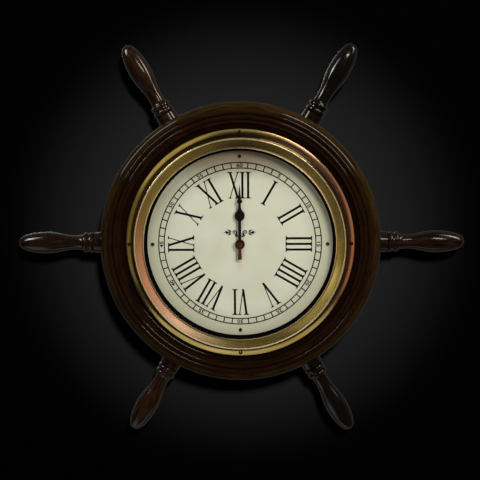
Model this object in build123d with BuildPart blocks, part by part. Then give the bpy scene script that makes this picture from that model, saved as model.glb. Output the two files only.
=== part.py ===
"""Ship's-wheel wall clock: a turned wooden wheel with six handles, a brass bezel and a quartz movement.

Millimetres, +Z up, the dial facing -Y. The origin is the centre of the hanger plate's round hole, on the
wall plane. A depth runs from the wall towards the viewer. A centre is (right, up) from the dial's axis.
"""

import math
import os

from build123d import *

os.makedirs("parts", exist_ok=True)

# Clearances
GLUE_GAP = 0.1  # around a fixed piece in its hole
RUNNING_FIT = 0.05  # radial, between an arbor and its bearing
END_SHAKE = 0.12  # along an arbor, at each end
FREE_GAP = 0.6  # between pieces that move past each other

# Dial and hands
DIAL_RADIUS = 93.4
DIAL_THICKNESS = 1.5
DIAL_EDGE_GAP = 2.3  # from the edge of the dial to the edge of the bezel's lip
DIAL_PIN_INSET = 5.3
PIN_HEAD_RADIUS = 1.8
PIN_HEAD_HEIGHT = 0.8
PIN_SHANK_RADIUS = 0.7
PIN_LENGTH = 8.0
HAND_THICKNESS = 0.5
HOUR_HAND_LENGTH = 45.0
HOUR_STEM_WIDTH = 2.8
HOUR_BOSS_RADIUS = 4.6
SPADE_RADIUS = 5.1
SPADE_REACH = 28.6  # from the dial's axis to the middle of the hour hand's round spade
SPADE_NECK_WIDTH = 2.6
SPADE_NECK_LENGTH = 6.0
MINUTE_HAND_LENGTH = 60.8
MINUTE_STEM_WIDTH = 2.2
MINUTE_BOSS_RADIUS = 5.0
COLLAR_REACH = 43.2  # from the dial's axis to the minute hand's collar
COLLAR_WIDTH = 5.4
COLLAR_HALF_LENGTH = 2.2
POINT_WIDTH = 3.0
TAIL_LENGTH = 15.3
TAIL_WIDTH = 1.9
TAIL_END_WIDTH = 4.2
HAND_NUT_RADIUS = 2.4
HAND_NUT_HEIGHT = 1.7

# Glass, spacer and bezel
GLASS_THICKNESS = 2.0
SPACER_WALL = 3.5
SPACER_FOOT = 1.0
BRASS_THICKNESS = 1.2
LIP_LAND = 2.0
SLOPE_WIDTH = 8.6
SLOPE_RISE = 1.9
RIDGE_ROUND = 1.5
WALL_LEAN = 2.4
FLANGE_WIDTH = 6.4
FLANGE_RISE = 1.9
FLANGE_EDGE = 0.9
SCREW_COUNT = 4
SCREW_SEAT = 0.7  # brass left under a screw head
SCREW_HEAD_RADIUS = 2.0
SCREW_HEAD_HEIGHT = 1.5
SCREW_SHANK_RADIUS = 1.2
SCREW_LENGTH = 12.0
SCREW_SLOT_WIDTH = 0.7
SCREW_SLOT_DEPTH = 0.6
SCREW_SLOT_TURN = 50.0  # degrees, from one screw's slot to the next

# Turned wooden body
FACE_MARGIN = 1.3
COVE_WIDTH = 4.8
COVE_HEIGHT = 3.5
FLAT_WIDTH = 2.9
BEAD_WIDTH = 5.0
BEAD_HEIGHT = 2.0
QUIRK_DEPTH = 0.6
ROUNDOVER = 8.2
BACK_CHAMFER = 2.0
WEB = 9.5  # wood between the movement's pocket and the dial
FINGER_ROOM = 9.0  # round the movement in its pocket

# Handles
HANDLE_COUNT = 6
HANDLE_LENGTH = 86.0
BASE_DIAMETER = 21.8
BASE_LENGTH = 7.4
BASE_TAPER = 0.5
GROOVE_DIAMETER = 17.0
GROOVE_WIDTH = 1.0
HANDLE_BEAD_LENGTH = 5.2
HANDLE_BEAD_DIAMETER = 20.8
HANDLE_COLLAR_LENGTH = 4.6
HANDLE_COLLAR_DIAMETER = 20.4
NECK_DIAMETER = 14.4
NECK_FROM_TIP = 58.0
GRIP_DIAMETER = 22.2
GRIP_FROM_TIP = 29.0
TIP_DIAMETER = 15.5
TIP_ROUND = 4.5
TENON_DIAMETER = 13.0
TENON_LENGTH = 28.0
SEAT_DEPTH = 1.2

# Movement
CASE_WALL = 1.5
CASE_CORNER = 2.5
KNOB_TO_WALL = 2.0
KNOB_RADIUS = 6.0
KNOB_HEIGHT = 4.2
KNOB_FLUTES = 12
FLUTE_RADIUS = 0.8
PINION_FACE = 1.5
WHEEL_THICKNESS = 0.8
LEVEL_GAP = 0.3
PLATE_THICKNESS = 1.2
POST_RADIUS = 1.1
RUBBER_THICKNESS = 0.9
RUBBER_RADIUS = 9.0
BUSH_RADIUS = 3.5
DIAL_HOLE_GAP = 0.3  # round the bush in the dial
WOOD_HOLE_GAP = 1.5  # round the bush in the wood
WASHER_THICKNESS = 0.5
WASHER_RADIUS = 4.9
DIAL_NUT_RADIUS = 4.7
DIAL_NUT_HEIGHT = 2.0
MINUTE_ARBOR_RADIUS = 1.5
MINUTE_THREAD_RADIUS = 1.15
HOUR_TUBE_WALL = 0.75
HOUR_SEAT_STEP = 0.2
SETTING_ARBOR_RADIUS = 1.25
ARBOR_RADIUS = 0.7
PIVOT_RADIUS = 0.45
PIVOT_LENGTH = 0.9

# Teeth
MOTION_MODULE = 0.5
TRAIN_MODULE = 0.28
PRESSURE_ANGLE = math.radians(20)
PROFILE_SHIFT = 0.53  # modules, out on a pinion and in on a wheel
ADDENDUM = 0.7
DEDENDUM = 1.25
TOOTH_THINNING = 0.15
CANNON_TEETH = 12
MINUTE_WHEEL_TEETH = 36
MINUTE_PINION_TEETH = 10
HOUR_WHEEL_TEETH = 40
TRAIN_PINION_TEETH = 8
CENTRE_WHEEL_TEETH = 64
THIRD_WHEEL_TEETH = 60
SECONDS_WHEEL_TEETH = 48
INTERMEDIATE_WHEEL_TEETH = 40
MINUTE_WHEEL_BEARING = math.radians(165)
SETTING_BEARING = math.radians(100)
THIRD_BEARING = math.radians(20)
SECONDS_BEARING = math.radians(75)
INTERMEDIATE_BEARING = math.radians(20)
ROTOR_BEARING = math.radians(110)

# Stepping motor and electronics
MAGNET_RADIUS = 2.5
MAGNET_LENGTH = 3.0
AIR_GAP = 0.5
STATOR_RIM = 1.8
STATOR_ARM = 2.6
STATOR_THICKNESS = 0.8
CORE_WIDTH = 2.0
COIL_RADIUS = 2.7
COIL_LENGTH = 15.0
BOBBIN_WALL = 0.6
BOARD_WIDTH = 12.0
BOARD_HEIGHT = 15.0
BOARD_THICKNESS = 0.8
CHIP_RADIUS = 2.4
CHIP_HEIGHT = 0.9
CRYSTAL_WIDTH = 2.0
CRYSTAL_LENGTH = 6.0
CRYSTAL_HEIGHT = 1.4

# Battery (one AA cell) and its contacts
CELL_DIAMETER = 14.5
CELL_LENGTH = 50.5
CELL_BUTTON_RADIUS = 2.75
CELL_BUTTON_LENGTH = 1.2
CELL_EDGE = 0.8
CELL_GAP = 0.4
CONTACT_ROOM = 1.8
CONTACT_THICKNESS = 0.4
CONTACT_WIDTH = 6.0
CONTACT_PIP = 2.4
CONTACT_GAP = 0.15

# Hanger
HANGER_WIDTH = 16.0
HANGER_HEIGHT = 42.0
HANGER_THICKNESS = 1.5
HANGER_EDGE = 16.6  # wood between the hanger plate and the wheel's rim
KEYHOLE_RADIUS = 4.0
KEYHOLE_SLOT_WIDTH = 4.2
KEYHOLE_SLOT_LENGTH = 9.0
HEAD_SLOT_WIDTH = 11.0
HEAD_SLOT_DEPTH = 9.0
HANGER_SCREW_INSET = 4.5

# Depths, from the wall to the front of the bezel
CASE_BACK = KNOB_TO_WALL + KNOB_HEIGHT + END_SHAKE
COVER_FRONT = CASE_BACK + CASE_WALL
LEVEL_PITCH = PINION_FACE + LEVEL_GAP
TRAIN_LEVELS = [COVER_FRONT + LEVEL_GAP + LEVEL_PITCH * level for level in range(4)]
PLATE_BACK = TRAIN_LEVELS[3] + LEVEL_PITCH
PLATE_FRONT = PLATE_BACK + PLATE_THICKNESS
SETTING_LEVEL = PLATE_FRONT + LEVEL_GAP
HOUR_LEVEL = SETTING_LEVEL + LEVEL_PITCH
CASE_INNER_FRONT = HOUR_LEVEL + LEVEL_PITCH
CASE_FRONT = CASE_INNER_FRONT + CASE_WALL
POCKET_DEPTH = CASE_FRONT + RUBBER_THICKNESS
FACE_DEPTH = POCKET_DEPTH + WEB
HANDLE_DEPTH = FACE_DEPTH / 2
FRONT_DEPTH = FACE_DEPTH + COVE_HEIGHT
DIAL_FRONT = FACE_DEPTH + DIAL_THICKNESS
NUT_BACK = DIAL_FRONT + WASHER_THICKNESS
BUSH_END = NUT_BACK + DIAL_NUT_HEIGHT + END_SHAKE
HOUR_SEAT = BUSH_END + FREE_GAP / 2
HOUR_TUBE_END = HOUR_SEAT + HAND_THICKNESS + END_SHAKE
MINUTE_SEAT = HOUR_TUBE_END + FREE_GAP
NUT_SEAT = MINUTE_SEAT + HAND_THICKNESS
MINUTE_ARBOR_END = NUT_SEAT + HAND_NUT_HEIGHT
GLASS_BACK = MINUTE_ARBOR_END + FREE_GAP
GLASS_FRONT = GLASS_BACK + GLASS_THICKNESS
LIP_FRONT = GLASS_FRONT + BRASS_THICKNESS
RIDGE_FRONT = LIP_FRONT + SLOPE_RISE

# Radii, from the dial out to the handle tips
LIP_RADIUS = DIAL_RADIUS + DIAL_EDGE_GAP
LAND_RADIUS = LIP_RADIUS + LIP_LAND
RIDGE_RADIUS = LAND_RADIUS + SLOPE_WIDTH
FLANGE_RADIUS = RIDGE_RADIUS + WALL_LEAN
BEZEL_RADIUS = FLANGE_RADIUS + FLANGE_WIDTH
SCREW_RING = FLANGE_RADIUS + FLANGE_WIDTH / 2
PIN_RING = DIAL_RADIUS - DIAL_PIN_INSET
SPACER_INNER = LIP_RADIUS + FREE_GAP
SPACER_RADIUS = SPACER_INNER + SPACER_WALL
GLASS_RADIUS = RIDGE_RADIUS - BRASS_THICKNESS - FREE_GAP
FACE_RADIUS = BEZEL_RADIUS + FACE_MARGIN
COVE_RADIUS = FACE_RADIUS + COVE_WIDTH
FLAT_RADIUS = COVE_RADIUS + FLAT_WIDTH
BEADS_RADIUS = FLAT_RADIUS + 2 * BEAD_WIDTH
RING_RADIUS = BEADS_RADIUS + ROUNDOVER

# Arbors
HOUR_TUBE_RADIUS = MINUTE_ARBOR_RADIUS + RUNNING_FIT + HOUR_TUBE_WALL
HOUR_MODULE = MOTION_MODULE * (CANNON_TEETH + MINUTE_WHEEL_TEETH) / (MINUTE_PINION_TEETH + HOUR_WHEEL_TEETH)


def mesh_distance(module, pinion_teeth, wheel_teeth):
    """Distance between the arbors of a pinion and the wheel it meshes with."""
    return module * (pinion_teeth + wheel_teeth) / 2


def beside(centre, distance, bearing):
    """Centre at a distance and bearing from another centre."""
    return (centre[0] + distance * math.cos(bearing), centre[1] + distance * math.sin(bearing))


def wheel_tip(module, teeth):
    """Tip radius of a wheel."""
    return module * (teeth / 2 + ADDENDUM - PROFILE_SHIFT)


MOTION_DISTANCE = mesh_distance(MOTION_MODULE, CANNON_TEETH, MINUTE_WHEEL_TEETH)
DIAL_CENTRE = (0, 0)
MINUTE_WHEEL_CENTRE = beside(DIAL_CENTRE, MOTION_DISTANCE, MINUTE_WHEEL_BEARING)
SETTING_CENTRE = beside(MINUTE_WHEEL_CENTRE, MOTION_DISTANCE, SETTING_BEARING)
THIRD_CENTRE = beside(
    DIAL_CENTRE, mesh_distance(TRAIN_MODULE, TRAIN_PINION_TEETH, CENTRE_WHEEL_TEETH), THIRD_BEARING
)
SECONDS_CENTRE = beside(
    THIRD_CENTRE, mesh_distance(TRAIN_MODULE, TRAIN_PINION_TEETH, THIRD_WHEEL_TEETH), SECONDS_BEARING
)
INTERMEDIATE_CENTRE = beside(
    SECONDS_CENTRE,
    mesh_distance(TRAIN_MODULE, TRAIN_PINION_TEETH, SECONDS_WHEEL_TEETH),
    INTERMEDIATE_BEARING,
)
ROTOR_CENTRE = beside(
    INTERMEDIATE_CENTRE,
    mesh_distance(TRAIN_MODULE, TRAIN_PINION_TEETH, INTERMEDIATE_WHEEL_TEETH),
    ROTOR_BEARING,
)
TRAIN_CENTRES = [THIRD_CENTRE, SECONDS_CENTRE, INTERMEDIATE_CENTRE, ROTOR_CENTRE]

# Motor layout
STATOR_HOLE_RADIUS = MAGNET_RADIUS + AIR_GAP
STATOR_BLOCK = STATOR_HOLE_RADIUS + STATOR_RIM
STATOR_BACK = TRAIN_LEVELS[1] + PINION_FACE
STATOR_FRONT = STATOR_BACK + STATOR_THICKNESS
CORE_DEPTH = STATOR_BACK - STATOR_THICKNESS / 2
MAGNET_BACK = (STATOR_BACK + STATOR_FRONT - MAGNET_LENGTH) / 2
STATOR_BOTTOM = ROTOR_CENTRE[1] - STATOR_BLOCK
COIL_HEIGHT = STATOR_BOTTOM + STATOR_ARM + FREE_GAP + COIL_RADIUS
COIL_RIGHT = ROTOR_CENTRE[0] - STATOR_BLOCK - FREE_GAP
COIL_LEFT = COIL_RIGHT - COIL_LENGTH
ARM_LEFT = COIL_LEFT - FREE_GAP - STATOR_ARM
STATOR_RIGHT = ROTOR_CENTRE[0] + STATOR_BLOCK
STATOR_TOP = ROTOR_CENTRE[1] + STATOR_BLOCK

# Case layout: the train above, the battery bay below
INNER_HALF_WIDTH = max(
    CELL_LENGTH / 2 + CONTACT_ROOM,
    INTERMEDIATE_CENTRE[0] + wheel_tip(TRAIN_MODULE, INTERMEDIATE_WHEEL_TEETH) + FREE_GAP,
    STATOR_RIGHT + FREE_GAP,
)
INNER_TOP = max(STATOR_TOP, COIL_HEIGHT + COIL_RADIUS) + FREE_GAP
BAY_WALL_TOP = -FREE_GAP - CONTACT_THICKNESS - max(
    wheel_tip(HOUR_MODULE, HOUR_WHEEL_TEETH), wheel_tip(TRAIN_MODULE, CENTRE_WHEEL_TEETH)
)
BAY_TOP = BAY_WALL_TOP - CASE_WALL
CELL_HEIGHT = BAY_TOP - CELL_GAP - CELL_DIAMETER / 2
INNER_BOTTOM = CELL_HEIGHT - CELL_DIAMETER / 2 - CELL_GAP
CELL_DEPTH = CASE_INNER_FRONT - CELL_GAP - CELL_DIAMETER / 2
CASE_HALF_WIDTH = INNER_HALF_WIDTH + CASE_WALL
CASE_TOP = INNER_TOP + CASE_WALL
CASE_BOTTOM = INNER_BOTTOM - CASE_WALL
PLATE_BOTTOM = BAY_WALL_TOP + CONTACT_THICKNESS + FREE_GAP / 2
PLATE_HALF_WIDTH = INNER_HALF_WIDTH - FREE_GAP / 2
PLATE_TOP = INNER_TOP - FREE_GAP / 2
POST_INSET = POST_RADIUS + FREE_GAP
POST_CENTRES = [
    (PLATE_HALF_WIDTH - POST_INSET, PLATE_BOTTOM + POST_INSET),
    (POST_INSET - PLATE_HALF_WIDTH, PLATE_BOTTOM + POST_INSET),
    (POST_INSET - PLATE_HALF_WIDTH, PLATE_TOP - POST_INSET),
    (PLATE_HALF_WIDTH - POST_INSET, PLATE_TOP - POST_INSET),
]
CASE_REACH = math.hypot(CASE_HALF_WIDTH, max(CASE_TOP, -CASE_BOTTOM))
POCKET_RADIUS = CASE_REACH + FINGER_ROOM
BOARD_DEPTH = TRAIN_LEVELS[2]
BOARD_LEFT = -INNER_HALF_WIDTH + CONTACT_THICKNESS + FREE_GAP
BOARD_CENTRE = (BOARD_LEFT + BOARD_WIDTH / 2, PLATE_BOTTOM + 2 * POST_INSET + BOARD_HEIGHT / 2)

CHIP_CENTRE = (BOARD_CENTRE[0], BOARD_CENTRE[1] + BOARD_HEIGHT / 4)
CRYSTAL_CENTRE = (BOARD_CENTRE[0], BOARD_CENTRE[1] - BOARD_HEIGHT / 4)

# The dial's axis hangs this far below the hanger's hole.
HANGER_RISE = RING_RADIUS - HANGER_EDGE - HANGER_HEIGHT / 2
HANGER_SCREW_REACH = HANGER_HEIGHT / 2 - HANGER_SCREW_INSET
HANGER_SCREW_CENTRES = [(0, HANGER_RISE + HANGER_SCREW_REACH), (0, HANGER_RISE - HANGER_SCREW_REACH)]
DIAL_AXIS = Axis((0, 0, -HANGER_RISE), (0, -1, 0))
PROFILE = Plane(origin=(0, 0, -HANGER_RISE), x_dir=(1, 0, 0), z_dir=(0, 0, -1))


def facing(depth, centre=DIAL_CENTRE):
    """Plane facing the viewer at a depth, with its origin at a centre."""
    return Plane(
        origin=(centre[0], -depth, centre[1] - HANGER_RISE), x_dir=(1, 0, 0), z_dir=(0, -1, 0)
    )


def save(piece, name):
    """Label a finished piece and write its file."""
    piece.part.label = name
    export_step(piece.part, f"parts/{name}.step")


def rod(centre, radius, start, end, mode=Mode.ADD):
    """Cylinder along the dial's axis between two depths."""
    with BuildSketch(facing(start, centre)) as outline:
        Circle(radius)
    extrude(outline.sketch, amount=end - start, mode=mode)


def block(left, right, bottom, top, start, end, mode=Mode.ADD):
    """Box given by its sides and by two depths."""
    with BuildSketch(facing(start, ((left + right) / 2, (bottom + top) / 2))) as outline:
        Rectangle(right - left, top - bottom)
    extrude(outline.sketch, amount=end - start, mode=mode)


def around(count, radius):
    """Centres evenly spaced on a circle, the first at twelve o'clock."""
    return [beside(DIAL_CENTRE, radius, math.pi / 2 - 2 * math.pi * n / count) for n in range(count)]


def involute(angle):
    """Involute function of a pressure angle."""
    return math.tan(angle) - angle


def gear(centre, module, teeth, shift, phase, start, face):
    """Toothed disc; the flanks are chords of the involute, so they stay inside it."""
    pitch_radius = module * teeth / 2
    base_radius = pitch_radius * math.cos(PRESSURE_ANGLE)
    tip_radius = pitch_radius + module * (ADDENDUM + shift)
    root_radius = pitch_radius - module * (DEDENDUM - shift)
    flank_start = max(base_radius, root_radius)
    pitch_half = (math.pi / 2 + 2 * shift * math.tan(PRESSURE_ANGLE) - TOOTH_THINNING) / teeth
    base_half = pitch_half + involute(PRESSURE_ANGLE)
    flank_radii = [flank_start, (flank_start + tip_radius) / 2, tip_radius]
    flank = [(r, base_half - involute(math.acos(min(1, base_radius / r)))) for r in flank_radii]
    if root_radius < flank_start:
        flank.insert(0, (root_radius, flank[0][1]))
    points = []
    for tooth in range(teeth):
        middle = phase + 2 * math.pi * tooth / teeth
        points += [(r * math.cos(middle - a), r * math.sin(middle - a)) for r, a in flank]
        points += [(r * math.cos(middle + a), r * math.sin(middle + a)) for r, a in reversed(flank)]
    with BuildSketch(facing(start, centre)) as outline:
        with BuildLine():
            Polyline(*points, close=True)
        make_face()
    extrude(outline.sketch, amount=face)


def wheel(centre, module, teeth, phase, level):
    """Wheel in the middle of a level."""
    start = level + (PINION_FACE - WHEEL_THICKNESS) / 2
    gear(centre, module, teeth, -PROFILE_SHIFT, phase, start, WHEEL_THICKNESS)


def pinion(centre, module, teeth, phase, level):
    """Pinion over the whole of a level."""
    gear(centre, module, teeth, PROFILE_SHIFT, phase, level, PINION_FACE)


def meshed(centre, teeth, phase, next_centre, next_teeth):
    """Phase that sets a tooth space of the next gear opposite a tooth of this one."""
    line = math.atan2(next_centre[1] - centre[1], next_centre[0] - centre[0])
    turn = (phase - line) * teeth / (2 * math.pi)
    return line + math.pi + (0.5 - turn) * 2 * math.pi / next_teeth


# Tooth phases: each pinion stands square, and each wheel follows from the pinion it meets.
MINUTE_WHEEL_PHASE = meshed(DIAL_CENTRE, CANNON_TEETH, 0, MINUTE_WHEEL_CENTRE, MINUTE_WHEEL_TEETH)
SETTING_PHASE = meshed(
    MINUTE_WHEEL_CENTRE, MINUTE_WHEEL_TEETH, MINUTE_WHEEL_PHASE, SETTING_CENTRE, CANNON_TEETH
)
HOUR_WHEEL_PHASE = meshed(MINUTE_WHEEL_CENTRE, MINUTE_PINION_TEETH, 0, DIAL_CENTRE, HOUR_WHEEL_TEETH)
CENTRE_WHEEL_PHASE = meshed(THIRD_CENTRE, TRAIN_PINION_TEETH, 0, DIAL_CENTRE, CENTRE_WHEEL_TEETH)

# Handle stations
HANDLE_HOURS = [1 + 12 * n // HANDLE_COUNT for n in range(HANDLE_COUNT)]
HANDLE_AIMS = [math.radians(360 * (n + 0.5) / HANDLE_COUNT) for n in range(HANDLE_COUNT)]


def handle_foot(aim):
    """Point on the wheel's rim under a handle, and the handle's direction."""
    direction = Vector(math.sin(aim), 0, math.cos(aim))
    return Vector(0, -HANDLE_DEPTH, -HANGER_RISE) + direction * RING_RADIUS, direction


# The wooden wheel: turned front, pocket for the movement, sockets for the handles
with BuildPart() as wheel_body:
    with BuildSketch(PROFILE):
        with BuildLine():
            Polyline(
                (0, FACE_DEPTH),
                (0, 0),
                (RING_RADIUS - BACK_CHAMFER, 0),
                (RING_RADIUS, BACK_CHAMFER),
                (RING_RADIUS, FRONT_DEPTH - ROUNDOVER),
            )
            ThreePointArc(
                (RING_RADIUS, FRONT_DEPTH - ROUNDOVER),
                (BEADS_RADIUS + ROUNDOVER * math.sqrt(0.5), FRONT_DEPTH - ROUNDOVER * (1 - math.sqrt(0.5))),
                (BEADS_RADIUS, FRONT_DEPTH),
            )
            Line((BEADS_RADIUS, FRONT_DEPTH), (BEADS_RADIUS, FRONT_DEPTH - QUIRK_DEPTH))
            for bead_outer in (BEADS_RADIUS, BEADS_RADIUS - BEAD_WIDTH):
                ThreePointArc(
                    (bead_outer, FRONT_DEPTH - QUIRK_DEPTH),
                    (bead_outer - BEAD_WIDTH / 2, FRONT_DEPTH - QUIRK_DEPTH + BEAD_HEIGHT),
                    (bead_outer - BEAD_WIDTH, FRONT_DEPTH - QUIRK_DEPTH),
                )
            Polyline(
                (FLAT_RADIUS, FRONT_DEPTH - QUIRK_DEPTH),
                (FLAT_RADIUS, FRONT_DEPTH),
                (COVE_RADIUS, FRONT_DEPTH),
            )
            ThreePointArc(
                (COVE_RADIUS, FRONT_DEPTH),
                (FACE_RADIUS + COVE_WIDTH * math.sqrt(0.5), FRONT_DEPTH - COVE_HEIGHT * math.sqrt(0.5)),
                (FACE_RADIUS, FACE_DEPTH),
            )
            Line((FACE_RADIUS, FACE_DEPTH), (0, FACE_DEPTH))
        make_face()
    revolve(axis=DIAL_AXIS)
    rod(DIAL_CENTRE, POCKET_RADIUS, 0, POCKET_DEPTH, Mode.SUBTRACT)
    rod(DIAL_CENTRE, BUSH_RADIUS + WOOD_HOLE_GAP, POCKET_DEPTH, FACE_DEPTH, Mode.SUBTRACT)
    for screw_centre in around(SCREW_COUNT, SCREW_RING):
        rod(
            screw_centre,
            SCREW_SHANK_RADIUS + GLUE_GAP,
            FACE_DEPTH - SCREW_LENGTH - GLUE_GAP,
            FACE_DEPTH,
            Mode.SUBTRACT,
        )
    for pin_centre in around(SCREW_COUNT, PIN_RING):
        rod(
            pin_centre,
            PIN_SHANK_RADIUS + GLUE_GAP,
            FACE_DEPTH - PIN_LENGTH - GLUE_GAP,
            FACE_DEPTH,
            Mode.SUBTRACT,
        )
    for handle_aim in HANDLE_AIMS:
        foot, outward = handle_foot(handle_aim)
        with BuildSketch(Plane(origin=foot, x_dir=(0, -1, 0), z_dir=outward)):
            Circle(BASE_DIAMETER / 2 + GLUE_GAP)
        extrude(amount=-SEAT_DEPTH, mode=Mode.SUBTRACT)
        with BuildSketch(Plane(origin=foot, x_dir=(0, -1, 0), z_dir=outward)):
            Circle(TENON_DIAMETER / 2 + GLUE_GAP)
        extrude(amount=-SEAT_DEPTH - TENON_LENGTH - GLUE_GAP, mode=Mode.SUBTRACT)
    with BuildSketch(facing(0, (0, HANGER_RISE))):
        SlotOverall(HANGER_HEIGHT + 2 * GLUE_GAP, HANGER_WIDTH + 2 * GLUE_GAP, rotation=90)
    extrude(amount=HANGER_THICKNESS, mode=Mode.SUBTRACT)
    with BuildSketch(facing(HANGER_THICKNESS, (0, HANGER_RISE + KEYHOLE_SLOT_LENGTH / 2))):
        SlotCenterToCenter(KEYHOLE_SLOT_LENGTH, HEAD_SLOT_WIDTH, rotation=90)
    extrude(amount=HEAD_SLOT_DEPTH, mode=Mode.SUBTRACT)
    for screw_centre in HANGER_SCREW_CENTRES:
        rod(
            screw_centre,
            SCREW_SHANK_RADIUS + GLUE_GAP,
            HANGER_THICKNESS,
            SCREW_LENGTH + GLUE_GAP,
            Mode.SUBTRACT,
        )
save(wheel_body, "wheel_body")

# Turned handles: tenon, base, groove, bead, groove, collar, neck, grip and blunt tip
BEAD_START = BASE_LENGTH + GROOVE_WIDTH
BEAD_END = BEAD_START + HANDLE_BEAD_LENGTH
COLLAR_START = BEAD_END + GROOVE_WIDTH
COLLAR_END = COLLAR_START + HANDLE_COLLAR_LENGTH
for handle_hour, handle_aim in zip(HANDLE_HOURS, HANDLE_AIMS):
    foot, outward = handle_foot(handle_aim)
    with BuildPart() as handle:
        with BuildSketch(Plane(origin=foot, x_dir=outward, z_dir=(0, -1, 0))):
            with BuildLine():
                Polyline(
                    (HANDLE_LENGTH, 0),
                    (-SEAT_DEPTH - TENON_LENGTH, 0),
                    (-SEAT_DEPTH - TENON_LENGTH, TENON_DIAMETER / 2),
                    (-SEAT_DEPTH, TENON_DIAMETER / 2),
                    (-SEAT_DEPTH, BASE_DIAMETER / 2),
                    (BASE_LENGTH, BASE_DIAMETER / 2 - BASE_TAPER),
                    (BEAD_START, GROOVE_DIAMETER / 2),
                )
                ThreePointArc(
                    (BEAD_START, GROOVE_DIAMETER / 2),
                    ((BEAD_START + BEAD_END) / 2, HANDLE_BEAD_DIAMETER / 2),
                    (BEAD_END, GROOVE_DIAMETER / 2),
                )
                Line((BEAD_END, GROOVE_DIAMETER / 2), (COLLAR_START, GROOVE_DIAMETER / 2))
                ThreePointArc(
                    (COLLAR_START, GROOVE_DIAMETER / 2),
                    ((COLLAR_START + COLLAR_END) / 2, HANDLE_COLLAR_DIAMETER / 2),
                    (COLLAR_END, GROOVE_DIAMETER / 2),
                )
                Spline(
                    (COLLAR_END, GROOVE_DIAMETER / 2),
                    (HANDLE_LENGTH - NECK_FROM_TIP, NECK_DIAMETER / 2),
                    tangents=[(1, -1), (1, 0)],
                )
                Spline(
                    (HANDLE_LENGTH - NECK_FROM_TIP, NECK_DIAMETER / 2),
                    (HANDLE_LENGTH - GRIP_FROM_TIP, GRIP_DIAMETER / 2),
                    tangents=[(1, 0), (1, 0)],
                )
                Spline(
                    (HANDLE_LENGTH - GRIP_FROM_TIP, GRIP_DIAMETER / 2),
                    (HANDLE_LENGTH - TIP_ROUND, TIP_DIAMETER / 2),
                    tangents=[(1, 0), (2, -1)],
                )
                Spline(
                    (HANDLE_LENGTH - TIP_ROUND, TIP_DIAMETER / 2),
                    (HANDLE_LENGTH, 0),
                    tangents=[(2, -1), (0, -1)],
                )
            make_face()
        revolve(axis=Axis(foot, outward))
    save(handle, f"handle_{handle_hour}_oclock")

# Spun brass bezel, hollow behind
with BuildPart() as brass_bezel:
    with BuildSketch(PROFILE) as bezel_profile:
        with BuildLine():
            ThreePointArc(
                (BEZEL_RADIUS, FACE_DEPTH + FLANGE_EDGE),
                (SCREW_RING, FACE_DEPTH + (FLANGE_EDGE + 3 * FLANGE_RISE) / 4),
                (FLANGE_RADIUS, FACE_DEPTH + FLANGE_RISE),
            )
            Polyline(
                (FLANGE_RADIUS, FACE_DEPTH + FLANGE_RISE),
                (RIDGE_RADIUS, RIDGE_FRONT),
                (LAND_RADIUS, LIP_FRONT),
                (LIP_RADIUS, LIP_FRONT),
                (LIP_RADIUS, GLASS_FRONT),
                (LAND_RADIUS, GLASS_FRONT),
                (RIDGE_RADIUS - BRASS_THICKNESS, RIDGE_FRONT - BRASS_THICKNESS),
                (FLANGE_RADIUS - BRASS_THICKNESS, FACE_DEPTH),
                (BEZEL_RADIUS, FACE_DEPTH),
                (BEZEL_RADIUS, FACE_DEPTH + FLANGE_EDGE),
            )
        make_face()
        fillet(bezel_profile.vertices().sort_by(Axis.Y)[-1], RIDGE_ROUND)
    revolve(axis=DIAL_AXIS)
    for screw_centre in around(SCREW_COUNT, SCREW_RING):
        rod(
            screw_centre, SCREW_SHANK_RADIUS + GLUE_GAP, FACE_DEPTH, FACE_DEPTH + FLANGE_RISE, Mode.SUBTRACT
        )
        rod(
            screw_centre,
            SCREW_HEAD_RADIUS + GLUE_GAP,
            FACE_DEPTH + SCREW_SEAT,
            FACE_DEPTH + FLANGE_RISE,
            Mode.SUBTRACT,
        )
save(brass_bezel, "brass_bezel")

# Round-head screws through the bezel's flange, slotted
with BuildPart() as bezel_screws:
    for screw_centre in around(SCREW_COUNT, SCREW_RING):
        rod(screw_centre, SCREW_SHANK_RADIUS, FACE_DEPTH - SCREW_LENGTH, FACE_DEPTH + SCREW_SEAT)
        rod(
            screw_centre,
            SCREW_HEAD_RADIUS,
            FACE_DEPTH + SCREW_SEAT,
            FACE_DEPTH + SCREW_SEAT + SCREW_HEAD_HEIGHT,
        )
    fillet(bezel_screws.faces().sort_by(DIAL_AXIS)[-SCREW_COUNT:].edges(), SCREW_HEAD_HEIGHT / 2)
    for turn, screw_centre in enumerate(around(SCREW_COUNT, SCREW_RING)):
        with BuildSketch(facing(FACE_DEPTH + SCREW_SEAT + SCREW_HEAD_HEIGHT, screw_centre)):
            Rectangle(2 * SCREW_HEAD_RADIUS, SCREW_SLOT_WIDTH, rotation=SCREW_SLOT_TURN * turn)
        extrude(amount=-SCREW_SLOT_DEPTH, mode=Mode.SUBTRACT)
save(bezel_screws, "bezel_screws")

# Flat glass against the lip, and the black spacer that holds it there
with BuildPart() as glass:
    rod(DIAL_CENTRE, GLASS_RADIUS, GLASS_BACK, GLASS_FRONT)
save(glass, "glass")

with BuildPart() as spacer_ring:
    with BuildSketch(PROFILE):
        with BuildLine():
            Polyline(
                (DIAL_RADIUS + FREE_GAP / 2, FACE_DEPTH),
                (SPACER_RADIUS, FACE_DEPTH),
                (SPACER_RADIUS, GLASS_BACK),
                (SPACER_INNER, GLASS_BACK),
                (SPACER_INNER, FACE_DEPTH + SPACER_FOOT),
                (DIAL_RADIUS + FREE_GAP / 2, FACE_DEPTH + SPACER_FOOT),
                close=True,
            )
        make_face()
    revolve(axis=DIAL_AXIS)
save(spacer_ring, "spacer_ring")

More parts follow.
